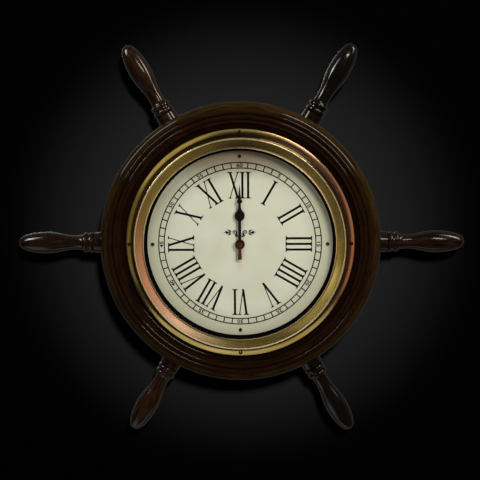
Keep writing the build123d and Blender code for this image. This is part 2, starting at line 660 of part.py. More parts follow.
# Dial plate and its pins
with BuildPart() as dial_plate:
    rod(DIAL_CENTRE, DIAL_RADIUS, FACE_DEPTH, DIAL_FRONT)
    rod(DIAL_CENTRE, BUSH_RADIUS + DIAL_HOLE_GAP, FACE_DEPTH, DIAL_FRONT, Mode.SUBTRACT)
    for pin_centre in around(SCREW_COUNT, PIN_RING):
        rod(pin_centre, PIN_SHANK_RADIUS + GLUE_GAP, FACE_DEPTH, DIAL_FRONT, Mode.SUBTRACT)
save(dial_plate, "dial_plate")

with BuildPart() as dial_pins:
    for pin_centre in around(SCREW_COUNT, PIN_RING):
        rod(pin_centre, PIN_SHANK_RADIUS, FACE_DEPTH - PIN_LENGTH, DIAL_FRONT)
        rod(pin_centre, PIN_HEAD_RADIUS, DIAL_FRONT, DIAL_FRONT + PIN_HEAD_HEIGHT)
    fillet(dial_pins.faces().sort_by(DIAL_AXIS)[-SCREW_COUNT:].edges(), PIN_HEAD_HEIGHT / 2)
save(dial_pins, "dial_pins")

# Hour hand: boss, stem, round spade with a drawn-out neck, point
with BuildPart() as hour_hand:
    with BuildSketch(facing(HOUR_SEAT)):
        with BuildLine():
            Polyline((0, 0), (HOUR_STEM_WIDTH / 2, 0), (HOUR_STEM_WIDTH / 2, SPADE_REACH - SPADE_RADIUS))
            ThreePointArc(
                (HOUR_STEM_WIDTH / 2, SPADE_REACH - SPADE_RADIUS),
                (SPADE_RADIUS, SPADE_REACH),
                (SPADE_RADIUS / 2, SPADE_REACH + SPADE_RADIUS),
            )
            Polyline(
                (SPADE_RADIUS / 2, SPADE_REACH + SPADE_RADIUS),
                (SPADE_NECK_WIDTH / 2, SPADE_REACH + SPADE_RADIUS + SPADE_NECK_LENGTH / 2),
                (SPADE_NECK_WIDTH / 2, SPADE_REACH + SPADE_RADIUS + SPADE_NECK_LENGTH),
                (0, HOUR_HAND_LENGTH),
                (0, 0),
            )
        make_face()
        mirror(about=Plane.YZ)
        Circle(HOUR_BOSS_RADIUS)
        Circle(HOUR_TUBE_RADIUS - HOUR_SEAT_STEP + RUNNING_FIT, mode=Mode.SUBTRACT)
    extrude(amount=HAND_THICKNESS)
save(hour_hand, "hour_hand")

# Minute hand: flared tail, boss, stem, small collar, long point
with BuildPart() as minute_hand:
    with BuildSketch(facing(MINUTE_SEAT)):
        with BuildLine():
            Polyline(
                (0, -TAIL_LENGTH),
                (TAIL_END_WIDTH / 2, -TAIL_LENGTH),
                (TAIL_WIDTH / 2, 0),
                (MINUTE_STEM_WIDTH / 2, 0),
                (MINUTE_STEM_WIDTH / 2, COLLAR_REACH - COLLAR_HALF_LENGTH),
            )
            ThreePointArc(
                (MINUTE_STEM_WIDTH / 2, COLLAR_REACH - COLLAR_HALF_LENGTH),
                (COLLAR_WIDTH / 2, COLLAR_REACH),
                (POINT_WIDTH / 2, COLLAR_REACH + COLLAR_HALF_LENGTH),
            )
            Polyline(
                (POINT_WIDTH / 2, COLLAR_REACH + COLLAR_HALF_LENGTH),
                (0, MINUTE_HAND_LENGTH),
                (0, -TAIL_LENGTH),
            )
        make_face()
        mirror(about=Plane.YZ)
        Circle(MINUTE_BOSS_RADIUS)
        Circle(MINUTE_THREAD_RADIUS + RUNNING_FIT, mode=Mode.SUBTRACT)
    extrude(amount=HAND_THICKNESS)
save(minute_hand, "minute_hand")

with BuildPart() as hand_nut:
    rod(DIAL_CENTRE, HAND_NUT_RADIUS, NUT_SEAT, NUT_SEAT + HAND_NUT_HEIGHT)
    chamfer(hand_nut.faces().sort_by(DIAL_AXIS)[-1].edges(), HAND_NUT_HEIGHT / 4)
    rod(DIAL_CENTRE, MINUTE_THREAD_RADIUS + RUNNING_FIT, NUT_SEAT, MINUTE_ARBOR_END, Mode.SUBTRACT)
save(hand_nut, "hand_nut")

# What clamps the movement: washer and round nut on the dial, rubber washer behind the wood
with BuildPart() as dial_washer:
    rod(DIAL_CENTRE, WASHER_RADIUS, DIAL_FRONT, NUT_BACK)
    rod(DIAL_CENTRE, BUSH_RADIUS + GLUE_GAP, DIAL_FRONT, NUT_BACK, Mode.SUBTRACT)
save(dial_washer, "dial_washer")

with BuildPart() as dial_nut:
    rod(DIAL_CENTRE, DIAL_NUT_RADIUS, NUT_BACK, NUT_BACK + DIAL_NUT_HEIGHT)
    rod(DIAL_CENTRE, BUSH_RADIUS + GLUE_GAP, NUT_BACK, NUT_BACK + DIAL_NUT_HEIGHT, Mode.SUBTRACT)
save(dial_nut, "dial_nut")

with BuildPart() as rubber_washer:
    rod(DIAL_CENTRE, RUBBER_RADIUS, CASE_FRONT, POCKET_DEPTH)
    rod(DIAL_CENTRE, BUSH_RADIUS + GLUE_GAP, CASE_FRONT, POCKET_DEPTH, Mode.SUBTRACT)
save(rubber_washer, "rubber_washer")


def case_outline(depth):
    """Outer outline of the movement, with rounded corners."""
    middle = (0, (CASE_TOP + CASE_BOTTOM) / 2)
    with BuildSketch(facing(depth, middle)) as outline:
        RectangleRounded(2 * CASE_HALF_WIDTH, CASE_TOP - CASE_BOTTOM, CASE_CORNER)
    return outline.sketch


# Movement case: front wall with the threaded bush, side walls, bay wall, posts under the train plate
with BuildPart() as movement_case:
    extrude(case_outline(COVER_FRONT), amount=CASE_FRONT - COVER_FRONT)
    block(
        -INNER_HALF_WIDTH,
        INNER_HALF_WIDTH,
        INNER_BOTTOM,
        INNER_TOP,
        COVER_FRONT,
        CASE_INNER_FRONT,
        Mode.SUBTRACT,
    )
    block(
        CONTACT_ROOM - INNER_HALF_WIDTH,
        INNER_HALF_WIDTH - CONTACT_ROOM,
        BAY_TOP,
        BAY_WALL_TOP,
        COVER_FRONT,
        CASE_INNER_FRONT,
    )
    for post_centre in POST_CENTRES:
        rod(post_centre, POST_RADIUS, PLATE_FRONT, CASE_INNER_FRONT)
    rod(DIAL_CENTRE, BUSH_RADIUS, CASE_FRONT, BUSH_END)
    rod(DIAL_CENTRE, HOUR_TUBE_RADIUS + RUNNING_FIT, CASE_INNER_FRONT, BUSH_END, Mode.SUBTRACT)
    for pivot_centre in (MINUTE_WHEEL_CENTRE, SETTING_CENTRE):
        rod(
            pivot_centre,
            PIVOT_RADIUS + RUNNING_FIT,
            CASE_INNER_FRONT,
            CASE_INNER_FRONT + PIVOT_LENGTH,
            Mode.SUBTRACT,
        )
save(movement_case, "movement_case")

# Rear cover: battery window, bearings and posts that hold the train plate
with BuildPart() as rear_cover:
    extrude(case_outline(CASE_BACK), amount=CASE_WALL)
    block(-INNER_HALF_WIDTH, INNER_HALF_WIDTH, INNER_BOTTOM, BAY_TOP, CASE_BACK, COVER_FRONT, Mode.SUBTRACT)
    for post_centre in POST_CENTRES:
        rod(post_centre, POST_RADIUS, COVER_FRONT, PLATE_BACK)
    rod(SETTING_CENTRE, SETTING_ARBOR_RADIUS + RUNNING_FIT, CASE_BACK, COVER_FRONT, Mode.SUBTRACT)
    for pivot_centre in [DIAL_CENTRE] + TRAIN_CENTRES:
        rod(pivot_centre, PIVOT_RADIUS + RUNNING_FIT, COVER_FRONT - PIVOT_LENGTH, COVER_FRONT, Mode.SUBTRACT)
save(rear_cover, "rear_cover")

# Posts on the train plate that carry the stator and the circuit board
STATOR_POSTS = [
    (ARM_LEFT + STATOR_ARM / 2, STATOR_BOTTOM + STATOR_ARM / 2),
    (STATOR_RIGHT - STATOR_RIM / 2, STATOR_BOTTOM + STATOR_RIM / 2),
]
BOARD_POSTS = [
    (BOARD_CENTRE[0], BOARD_CENTRE[1] + sign * (BOARD_HEIGHT / 2 - POST_INSET)) for sign in (1, -1)
]
with BuildPart() as train_plate:
    block(-PLATE_HALF_WIDTH, PLATE_HALF_WIDTH, PLATE_BOTTOM, PLATE_TOP, PLATE_BACK, PLATE_FRONT)
    for post_centre in STATOR_POSTS:
        rod(post_centre, STATOR_RIM / 2, STATOR_FRONT, PLATE_BACK)
    for post_centre in BOARD_POSTS:
        rod(post_centre, POST_RADIUS, BOARD_DEPTH + BOARD_THICKNESS, PLATE_BACK)
    rod(DIAL_CENTRE, MINUTE_ARBOR_RADIUS + RUNNING_FIT, PLATE_BACK, PLATE_FRONT, Mode.SUBTRACT)
    rod(SETTING_CENTRE, SETTING_ARBOR_RADIUS + FREE_GAP, PLATE_BACK, PLATE_FRONT, Mode.SUBTRACT)
    for pivot_centre in [MINUTE_WHEEL_CENTRE] + TRAIN_CENTRES:
        rod(pivot_centre, PIVOT_RADIUS + RUNNING_FIT, PLATE_BACK, PLATE_FRONT, Mode.SUBTRACT)
save(train_plate, "train_plate")

# Motion work: the minute arbor with its cannon pinion turns the minute wheel, which turns the hour wheel.
CENTRE_WHEEL_START = TRAIN_LEVELS[3] + (PINION_FACE - WHEEL_THICKNESS) / 2
CENTRE_WHEEL_END = CENTRE_WHEEL_START + WHEEL_THICKNESS
SPRING_START = TRAIN_LEVELS[3] - LEVEL_GAP / 2
with BuildPart() as minute_arbor:
    rod(DIAL_CENTRE, PIVOT_RADIUS, COVER_FRONT - PIVOT_LENGTH + END_SHAKE, COVER_FRONT + END_SHAKE)
    rod(DIAL_CENTRE, ARBOR_RADIUS, COVER_FRONT + END_SHAKE, SPRING_START)
    rod(DIAL_CENTRE, MINUTE_ARBOR_RADIUS, SPRING_START, MINUTE_SEAT)
    rod(DIAL_CENTRE, MINUTE_THREAD_RADIUS, MINUTE_SEAT, MINUTE_ARBOR_END)
    rod(DIAL_CENTRE, 2 * MINUTE_ARBOR_RADIUS, CENTRE_WHEEL_END + END_SHAKE, PLATE_BACK - END_SHAKE)
    pinion(DIAL_CENTRE, MOTION_MODULE, CANNON_TEETH, 0, SETTING_LEVEL)
save(minute_arbor, "minute_arbor")

with BuildPart() as hour_wheel:
    wheel(DIAL_CENTRE, HOUR_MODULE, HOUR_WHEEL_TEETH, HOUR_WHEEL_PHASE, HOUR_LEVEL)
    rod(DIAL_CENTRE, HOUR_TUBE_RADIUS, HOUR_LEVEL, HOUR_SEAT)
    rod(DIAL_CENTRE, HOUR_TUBE_RADIUS - HOUR_SEAT_STEP, HOUR_SEAT, HOUR_TUBE_END)
    rod(DIAL_CENTRE, MINUTE_ARBOR_RADIUS + RUNNING_FIT, HOUR_LEVEL, HOUR_TUBE_END, Mode.SUBTRACT)
save(hour_wheel, "hour_wheel")


def arbor(centre, radius, start, end):
    """Arbor between two bearing faces, with a pivot at each end."""
    rod(centre, PIVOT_RADIUS, start - PIVOT_LENGTH + END_SHAKE, end + PIVOT_LENGTH - END_SHAKE)
    rod(centre, radius, start + END_SHAKE, end - END_SHAKE)


with BuildPart() as minute_wheel:
    arbor(MINUTE_WHEEL_CENTRE, ARBOR_RADIUS, PLATE_FRONT, CASE_INNER_FRONT)
    wheel(MINUTE_WHEEL_CENTRE, MOTION_MODULE, MINUTE_WHEEL_TEETH, MINUTE_WHEEL_PHASE, SETTING_LEVEL)
    pinion(MINUTE_WHEEL_CENTRE, HOUR_MODULE, MINUTE_PINION_TEETH, 0, HOUR_LEVEL)
save(minute_wheel, "minute_wheel")

KNOB_FRONT = KNOB_TO_WALL + KNOB_HEIGHT
KNOB_BORE = KNOB_TO_WALL + KNOB_HEIGHT / 3
with BuildPart() as setting_arbor:
    rod(SETTING_CENTRE, SETTING_ARBOR_RADIUS, KNOB_BORE, CASE_INNER_FRONT - END_SHAKE)
    rod(SETTING_CENTRE, PIVOT_RADIUS, KNOB_FRONT, CASE_INNER_FRONT + PIVOT_LENGTH - END_SHAKE)
    pinion(SETTING_CENTRE, MOTION_MODULE, CANNON_TEETH, SETTING_PHASE, SETTING_LEVEL)
save(setting_arbor, "setting_arbor")

with BuildPart() as setting_knob:
    with BuildSketch(facing(KNOB_TO_WALL, SETTING_CENTRE)):
        Circle(KNOB_RADIUS)
        with PolarLocations(KNOB_RADIUS, KNOB_FLUTES):
            Circle(FLUTE_RADIUS, mode=Mode.SUBTRACT)
    extrude(amount=KNOB_HEIGHT)
    rod(SETTING_CENTRE, SETTING_ARBOR_RADIUS + RUNNING_FIT, KNOB_BORE, KNOB_FRONT, Mode.SUBTRACT)
save(setting_knob, "setting_knob")

# Going train, from the centre wheel back to the rotor; a spring washer lets the hands slip when set.
with BuildPart() as centre_wheel:
    wheel(DIAL_CENTRE, TRAIN_MODULE, CENTRE_WHEEL_TEETH, CENTRE_WHEEL_PHASE, TRAIN_LEVELS[3])
    rod(
        DIAL_CENTRE, MINUTE_ARBOR_RADIUS + RUNNING_FIT, CENTRE_WHEEL_START, CENTRE_WHEEL_END, Mode.SUBTRACT
    )
save(centre_wheel, "centre_wheel")

with BuildPart() as clutch_spring:
    rod(DIAL_CENTRE, 2 * MINUTE_ARBOR_RADIUS, SPRING_START, CENTRE_WHEEL_START - END_SHAKE)
    rod(
        DIAL_CENTRE,
        MINUTE_ARBOR_RADIUS + RUNNING_FIT,
        SPRING_START,
        CENTRE_WHEEL_START - END_SHAKE,
        Mode.SUBTRACT,
    )
save(clutch_spring, "clutch_spring")

TRAIN_TEETH = [THIRD_WHEEL_TEETH, SECONDS_WHEEL_TEETH, INTERMEDIATE_WHEEL_TEETH]
TRAIN_NAMES = ["third_wheel", "seconds_wheel", "intermediate_wheel"]
for step, (train_name, train_teeth) in enumerate(zip(TRAIN_NAMES, TRAIN_TEETH)):
    train_centre, next_centre = TRAIN_CENTRES[step], TRAIN_CENTRES[step + 1]
    with BuildPart() as train_wheel:
        arbor(train_centre, ARBOR_RADIUS, COVER_FRONT, PLATE_BACK)
        pinion(train_centre, TRAIN_MODULE, TRAIN_PINION_TEETH, 0, TRAIN_LEVELS[3 - step])
        wheel(
            train_centre,
            TRAIN_MODULE,
            train_teeth,
            meshed(next_centre, TRAIN_PINION_TEETH, 0, train_centre, train_teeth),
            TRAIN_LEVELS[2 - step],
        )
    save(train_wheel, train_name)

with BuildPart() as rotor:
    arbor(ROTOR_CENTRE, ARBOR_RADIUS, COVER_FRONT, PLATE_BACK)
    pinion(ROTOR_CENTRE, TRAIN_MODULE, TRAIN_PINION_TEETH, 0, TRAIN_LEVELS[0])
save(rotor, "rotor")

with BuildPart() as rotor_magnet:
    rod(ROTOR_CENTRE, MAGNET_RADIUS, MAGNET_BACK, MAGNET_BACK + MAGNET_LENGTH)
    rod(ROTOR_CENTRE, ARBOR_RADIUS + RUNNING_FIT, MAGNET_BACK, MAGNET_BACK + MAGNET_LENGTH, Mode.SUBTRACT)
save(rotor_magnet, "rotor_magnet")

# Stepping motor: stator plate round the rotor, core, bobbin and winding
with BuildPart() as stator:
    block(ARM_LEFT, STATOR_RIGHT, STATOR_BOTTOM, STATOR_BOTTOM + STATOR_ARM, STATOR_BACK, STATOR_FRONT)
    block(
        ARM_LEFT,
        ARM_LEFT + STATOR_ARM,
        STATOR_BOTTOM,
        COIL_HEIGHT + CORE_WIDTH / 2,
        STATOR_BACK,
        STATOR_FRONT,
    )
    block(
        ROTOR_CENTRE[0] - STATOR_BLOCK, STATOR_RIGHT, STATOR_BOTTOM, STATOR_TOP, STATOR_BACK, STATOR_FRONT
    )
    rod(ROTOR_CENTRE, STATOR_HOLE_RADIUS, STATOR_BACK, STATOR_FRONT, Mode.SUBTRACT)
save(stator, "stator")

CORE_RIGHT = ROTOR_CENTRE[0] - STATOR_BLOCK + STATOR_RIM / 2
with BuildPart() as coil_core:
    block(
        ARM_LEFT,
        CORE_RIGHT,
        COIL_HEIGHT - CORE_WIDTH / 2,
        COIL_HEIGHT + CORE_WIDTH / 2,
        STATOR_BACK - STATOR_THICKNESS,
        STATOR_BACK,
    )
save(coil_core, "coil_core")

COIL_PLANE = Plane(
    origin=(COIL_LEFT, -CORE_DEPTH, COIL_HEIGHT - HANGER_RISE), x_dir=(0, 0, 1), z_dir=(1, 0, 0)
)
BOBBIN_RADIUS = math.hypot(CORE_WIDTH, STATOR_THICKNESS) / 2 + GLUE_GAP + BOBBIN_WALL
with BuildPart() as coil_bobbin:
    with BuildSketch(COIL_PLANE):
        Circle(BOBBIN_RADIUS)
    extrude(amount=COIL_LENGTH)
    with BuildSketch(COIL_PLANE, COIL_PLANE.offset(COIL_LENGTH - BOBBIN_WALL)):
        Circle(COIL_RADIUS)
    extrude(amount=BOBBIN_WALL)
    with BuildSketch(COIL_PLANE):
        Rectangle(CORE_WIDTH + 2 * GLUE_GAP, STATOR_THICKNESS + 2 * GLUE_GAP)
    extrude(amount=COIL_LENGTH, mode=Mode.SUBTRACT)
save(coil_bobbin, "coil_bobbin")

with BuildPart() as coil_winding:
    with BuildSketch(COIL_PLANE.offset(BOBBIN_WALL)):
        Circle(COIL_RADIUS - BOBBIN_WALL / 2)
        Circle(BOBBIN_RADIUS + GLUE_GAP, mode=Mode.SUBTRACT)
    extrude(amount=COIL_LENGTH - 2 * BOBBIN_WALL)
save(coil_winding, "coil_winding")

# Circuit board on the plate's posts, with its chip and crystal behind
with BuildPart() as circuit_board:
    block(
        BOARD_CENTRE[0] - BOARD_WIDTH / 2,
        BOARD_CENTRE[0] + BOARD_WIDTH / 2,
        BOARD_CENTRE[1] - BOARD_HEIGHT / 2,
        BOARD_CENTRE[1] + BOARD_HEIGHT / 2,
        BOARD_DEPTH,
        BOARD_DEPTH + BOARD_THICKNESS,
    )
save(circuit_board, "circuit_board")

with BuildPart() as circuit_chip:
    rod(CHIP_CENTRE, CHIP_RADIUS, BOARD_DEPTH - CHIP_HEIGHT, BOARD_DEPTH)
save(circuit_chip, "circuit_chip")

with BuildPart() as quartz_crystal:
    with BuildSketch(facing(BOARD_DEPTH - CRYSTAL_HEIGHT, CRYSTAL_CENTRE)):
        SlotOverall(CRYSTAL_LENGTH, CRYSTAL_WIDTH)
    extrude(amount=CRYSTAL_HEIGHT)
save(quartz_crystal, "quartz_crystal")

# Battery with its button to the right
CELL_PLANE = Plane(
    origin=(-CELL_LENGTH / 2, -CELL_DEPTH, CELL_HEIGHT - HANGER_RISE), x_dir=(0, 0, 1), z_dir=(1, 0, 0)
)
with BuildPart() as battery:
    with BuildSketch(CELL_PLANE):
        Circle(CELL_DIAMETER / 2)
    extrude(amount=CELL_LENGTH - CELL_BUTTON_LENGTH)
    fillet(battery.edges().filter_by(GeomType.CIRCLE), CELL_EDGE)
    with BuildSketch(CELL_PLANE.offset(CELL_LENGTH - CELL_BUTTON_LENGTH)):
        Circle(CELL_BUTTON_RADIUS)
    extrude(amount=CELL_BUTTON_LENGTH)
save(battery, "battery")

# Contact strips on the bay's end walls, with a pip towards the cell; both end at the circuit board.
CONTACT_BACK = CELL_DEPTH - CONTACT_WIDTH / 2
CONTACT_FRONT = CELL_DEPTH + CONTACT_WIDTH / 2
PIP_REACH = INNER_HALF_WIDTH - CELL_LENGTH / 2 - CONTACT_GAP
STRIP_TOP = BAY_WALL_TOP + CONTACT_THICKNESS
with BuildPart() as positive_contact:
    block(
        INNER_HALF_WIDTH - CONTACT_THICKNESS,
        INNER_HALF_WIDTH,
        CELL_HEIGHT - CELL_BUTTON_RADIUS,
        STRIP_TOP,
        CONTACT_BACK,
        CONTACT_FRONT,
    )
    block(
        INNER_HALF_WIDTH - PIP_REACH,
        INNER_HALF_WIDTH,
        CELL_HEIGHT - CONTACT_PIP / 2,
        CELL_HEIGHT + CONTACT_PIP / 2,
        CELL_DEPTH - CONTACT_PIP / 2,
        CELL_DEPTH + CONTACT_PIP / 2,
    )
    block(BOARD_CENTRE[0], INNER_HALF_WIDTH, BAY_WALL_TOP, STRIP_TOP, CONTACT_BACK, CONTACT_FRONT)
    block(
        BOARD_CENTRE[0],
        BOARD_CENTRE[0] + CONTACT_PIP,
        BAY_WALL_TOP,
        BOARD_CENTRE[1] - BOARD_HEIGHT / 2,
        BOARD_DEPTH,
        BOARD_DEPTH + BOARD_THICKNESS,
    )
save(positive_contact, "positive_contact")

with BuildPart() as negative_contact:
    block(
        -INNER_HALF_WIDTH,
        CONTACT_THICKNESS - INNER_HALF_WIDTH,
        CELL_HEIGHT - CELL_BUTTON_RADIUS,
        BOARD_CENTRE[1],
        CONTACT_BACK,
        PLATE_BACK - FREE_GAP,
    )
    block(
        -INNER_HALF_WIDTH,
        PIP_REACH - INNER_HALF_WIDTH,
        CELL_HEIGHT - CONTACT_PIP / 2,
        CELL_HEIGHT + CONTACT_PIP / 2,
        CELL_DEPTH - CONTACT_PIP / 2,
        CELL_DEPTH + CONTACT_PIP / 2,
    )
    block(
        -INNER_HALF_WIDTH,
        BOARD_LEFT,
        BOARD_CENTRE[1] - CONTACT_PIP,
        BOARD_CENTRE[1],
        BOARD_DEPTH,
        BOARD_DEPTH + BOARD_THICKNESS,
    )
save(negative_contact, "negative_contact")

# Keyhole hanger plate, let in flush with the back, and its two countersunk slotted screws
with BuildPart() as hanger_plate:
    with BuildSketch(facing(0, (0, HANGER_RISE))):
        SlotOverall(HANGER_HEIGHT, HANGER_WIDTH, rotation=90)
        Circle(KEYHOLE_RADIUS, mode=Mode.SUBTRACT)
        with Locations((0, KEYHOLE_SLOT_LENGTH / 2)):
            SlotCenterToCenter(KEYHOLE_SLOT_LENGTH, KEYHOLE_SLOT_WIDTH, rotation=90, mode=Mode.SUBTRACT)
    extrude(amount=HANGER_THICKNESS)
    for screw_centre in HANGER_SCREW_CENTRES:
        with BuildSketch(facing(0, screw_centre)):
            Circle(SCREW_HEAD_RADIUS + GLUE_GAP)
        with BuildSketch(facing(HANGER_THICKNESS, screw_centre)):
            Circle(SCREW_SHANK_RADIUS + GLUE_GAP)
        loft(mode=Mode.SUBTRACT)
save(hanger_plate, "hanger_plate")

with BuildPart() as hanger_screws:
    for screw_centre in HANGER_SCREW_CENTRES:
        with BuildSketch(facing(0, screw_centre)):
            Circle(SCREW_HEAD_RADIUS)
        with BuildSketch(facing(HANGER_THICKNESS, screw_centre)):
            Circle(SCREW_SHANK_RADIUS)
        loft()
        rod(screw_centre, SCREW_SHANK_RADIUS, HANGER_THICKNESS, SCREW_LENGTH)
    for turn, screw_centre in enumerate(HANGER_SCREW_CENTRES):
        with BuildSketch(facing(0, screw_centre)):
            Rectangle(2 * SCREW_HEAD_RADIUS, SCREW_SLOT_WIDTH, rotation=SCREW_SLOT_TURN * turn)
        extrude(amount=SCREW_SLOT_DEPTH, mode=Mode.SUBTRACT)
save(hanger_screws, "hanger_screws")
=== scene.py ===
# %% [markdown]
# # A ship's-wheel wall clock
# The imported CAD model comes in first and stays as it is: every length is in metres, the wall is the
# plane y = 0 and the clock looks towards -y. Pieces that already have the right shape keep it and
# only get a finish. The handles and the bezel are turned again in finer steps, because they mirror
# the room, and the dial's print and the signs on the rear cover are modelled here.

# %% Load the frame
import math

import bmesh
import bpy
from mathutils import Matrix, Vector
from mathutils.geometry import interpolate_bezier


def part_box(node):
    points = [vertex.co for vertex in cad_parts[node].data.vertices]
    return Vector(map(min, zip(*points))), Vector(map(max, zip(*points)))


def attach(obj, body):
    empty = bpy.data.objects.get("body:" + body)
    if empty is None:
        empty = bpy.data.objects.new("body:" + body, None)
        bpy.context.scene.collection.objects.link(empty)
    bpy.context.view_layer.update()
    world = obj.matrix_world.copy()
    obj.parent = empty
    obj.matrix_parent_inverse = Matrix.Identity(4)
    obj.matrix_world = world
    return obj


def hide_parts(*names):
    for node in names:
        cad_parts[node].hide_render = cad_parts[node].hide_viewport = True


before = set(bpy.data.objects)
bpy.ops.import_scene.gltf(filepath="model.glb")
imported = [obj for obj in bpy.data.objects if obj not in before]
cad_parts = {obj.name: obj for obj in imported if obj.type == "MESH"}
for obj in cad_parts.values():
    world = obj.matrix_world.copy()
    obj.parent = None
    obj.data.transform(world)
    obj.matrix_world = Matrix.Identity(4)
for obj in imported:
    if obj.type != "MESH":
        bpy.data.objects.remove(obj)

bpy.context.view_layer.update()
MM = 0.001
dial_low, dial_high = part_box("dial_plate")
AXIS_Z = (dial_low.z + dial_high.z) / 2
DIAL_FRONT = dial_low.y
print("nodes", len(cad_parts))
print("dial axis z", round(AXIS_Z / MM, 2), "mm, dial radius", round(dial_high.x / MM, 2), "mm")

# %% [markdown]
# ## The camera
# The picture was taken from nearly straight ahead, a little above the dial: the black gap round the
# dial is wider at the bottom than at the top. A lens of about 64 mm at 0.86 m puts the six handle
# tips and the circles of the bezel where they are in the picture. The clock hangs a touch out of
# level, so the camera is rolled by a third of a degree.

# %% Camera
LENS = 63.7  # mm
LOOK_DISTANCE = 0.8595
LOOK_UP = math.radians(6.93)
LOOK_RIGHT = math.radians(1.325)
LOOK_ROLL = math.radians(-0.353)
LOOK_RAISE = 3.6 * MM  # above the dial's axis
FRONT_DEPTH = 30 * MM  # from the wall to the middle of the clock's front
look_at = Vector((0, -FRONT_DEPTH, AXIS_Z + LOOK_RAISE))
towards_camera = Vector((
    math.sin(LOOK_RIGHT) * math.cos(LOOK_UP),
    -math.cos(LOOK_RIGHT) * math.cos(LOOK_UP),
    math.sin(LOOK_UP),
))
camera = bpy.data.objects.new("camera", bpy.data.cameras.new("camera"))
bpy.context.scene.collection.objects.link(camera)
camera.data.lens = LENS
camera.location = look_at + LOOK_DISTANCE * towards_camera
turn = towards_camera.to_track_quat("Z", "Y").to_matrix() @ Matrix.Rotation(LOOK_ROLL, 3, "Z")
camera.rotation_euler = turn.to_euler()
bpy.context.scene.camera = camera
bpy.context.scene.view_settings.view_transform = "Standard"
print("camera", [round(value, 3) for value in camera.location])

# %% [markdown]
# ## Colours and nodes
# Colours are read off as sRGB hex values, and shaders work in linear light, so one function turns
# one into the other. One more function adds a node, sets it and links it: a socket as a value is
# linked, and anything else is typed into the input. A new material starts from the Principled
# shader, with what is the same all over the surface typed into its own sockets.

# %% Helpers for materials
def colour(code):
    parts = [int(code[i:i + 2], 16) / 255 for i in (1, 3, 5)]
    return [p / 12.92 if p <= 0.04045 else ((p + 0.055) / 1.055) ** 2.4 for p in parts] + [1.0]


def add(tree, kind, inputs, **settings):
    node = tree.nodes.new(kind)
    for name, value in settings.items():
        setattr(node, name, value)
    for socket, value in inputs.items():
        if isinstance(value, bpy.types.NodeSocket):
            tree.links.new(value, node.inputs[socket])
        else:
            node.inputs[socket].default_value = value
    return node


def new_material(name, **values):
    material = bpy.data.materials.new(name)
    material.use_nodes = True
    tree = material.node_tree
    shader = tree.nodes["Principled BSDF"]
    for word, value in values.items():
        socket = word.replace("_", " ").title().replace("Ior", "IOR")
        shader.inputs[socket].default_value = value
    return material, tree, shader


print("dial cream in linear light", [round(value, 3) for value in colour("#cbcbb9")])

# %% [markdown]
# ## The room
# The clock hangs on a dark wall with a painted pool of light round the clock that fades to black,
# and a plain pale floor lies below it, out of the picture. Both could be thick boxes, but a plane
# that is seen from its front only leaves the clock in sight from behind and from below. Neither plane
# throws light back on the clock or shows in its glass. The lacquer alone mirrors the wall, which
# glows for it though it is no lamp, a painted reflection.

# %% Stage planes
def stage_plane(name, size, place, tilt, material):
    bm = bmesh.new()
    bmesh.ops.create_grid(bm, x_segments=1, y_segments=1, size=size)
    bmesh.ops.rotate(bm, verts=bm.verts, matrix=Matrix.Rotation(tilt, 3, "X"))
    bmesh.ops.translate(bm, verts=bm.verts, vec=place)
    mesh = bpy.data.meshes.new(name)
    bm.to_mesh(mesh)
    bm.free()
    mesh.materials.append(material)
    plane = bpy.data.objects.new(name, mesh)
    bpy.context.scene.collection.objects.link(plane)
    plane.visible_diffuse = False
    plane.visible_glossy = False
    plane.visible_transmission = False
    plane.visible_shadow = False
    print(name, "of", 2 * size, "m")
    return plane


def front_only(tree, shader):
    facing = add(tree, "ShaderNodeNewGeometry", {})
    clear = add(tree, "ShaderNodeBsdfTransparent", {})
    mix = add(
        tree, "ShaderNodeMixShader",
        {0: facing.outputs["Backfacing"], 1: shader.outputs[0], 2: clear.outputs[0]},
    )
    tree.links.new(mix.outputs[0], tree.nodes["Material Output"].inputs["Surface"])


# %% Wall
# Matt wall paint, near black, with no gloss, and a painted pool of light within a hand's width of
# the clock.
GLOW_FULL = 0.12  # from the dial's axis
GLOW_END = 0.26
MIRRORED_GLOW = 0.09
WALL_GAP = 0.4 * MM
WALL_RAISE = 1.4
wall_painted_glow, tree, shader = new_material(
    "matt_wall_paint", roughness=0.9, specular_ior_level=0.0, emission_color=colour("#f4f4f2")
)
place = add(tree, "ShaderNodeTexCoord", {})
centred = add(
    tree, "ShaderNodeMapping", {"Vector": place.outputs["Object"], "Location": (0, 0, -AXIS_Z)}
)
reach = add(tree, "ShaderNodeVectorMath", {0: centred.outputs[0]}, operation="LENGTH")
fade = add(
    tree, "ShaderNodeMapRange",
    {0: reach.outputs["Value"], 1: GLOW_FULL, 2: GLOW_END}, interpolation_type="SMOOTHSTEP",
)
shade = add(
    tree, "ShaderNodeMix",
    {0: fade.outputs[0], 6: colour("#1f1f1f"), 7: colour("#020202")}, data_type="RGBA",
)
tree.links.new(shade.outputs[2], shader.inputs["Base Color"])
# For glossy rays alone the wall glows though it is no lamp, a painted reflection, so edges that
# turn away from the eye keep a thin light rim.
path = add(tree, "ShaderNodeLightPath", {})
pale = add(
    tree, "ShaderNodeMath",
    {0: path.outputs["Is Glossy Ray"], 1: MIRRORED_GLOW}, operation="MULTIPLY",
)
tree.links.new(pale.outputs[0], shader.inputs["Emission Strength"])
wall_painted_glow.cycles.emission_sampling = "NONE"
front_only(tree, shader)
wall_place = Vector((0, WALL_GAP, AXIS_Z + WALL_RAISE))
wall = stage_plane("wall", 2.0, wall_place, math.radians(90), wall_painted_glow)
wall.visible_glossy = True

# %% Floor
# Matt floor paint, pale and plain.
FLOOR_DROP = 0.34  # below the dial's axis
floor_paint, tree, shader = new_material(
    "pale_floor_paint", base_color=colour("#d9d6d0"), roughness=0.8
)
front_only(tree, shader)
stage_plane("floor", 3.0, Vector((0, 0, AXIS_Z - FLOOR_DROP)), 0, floor_paint)

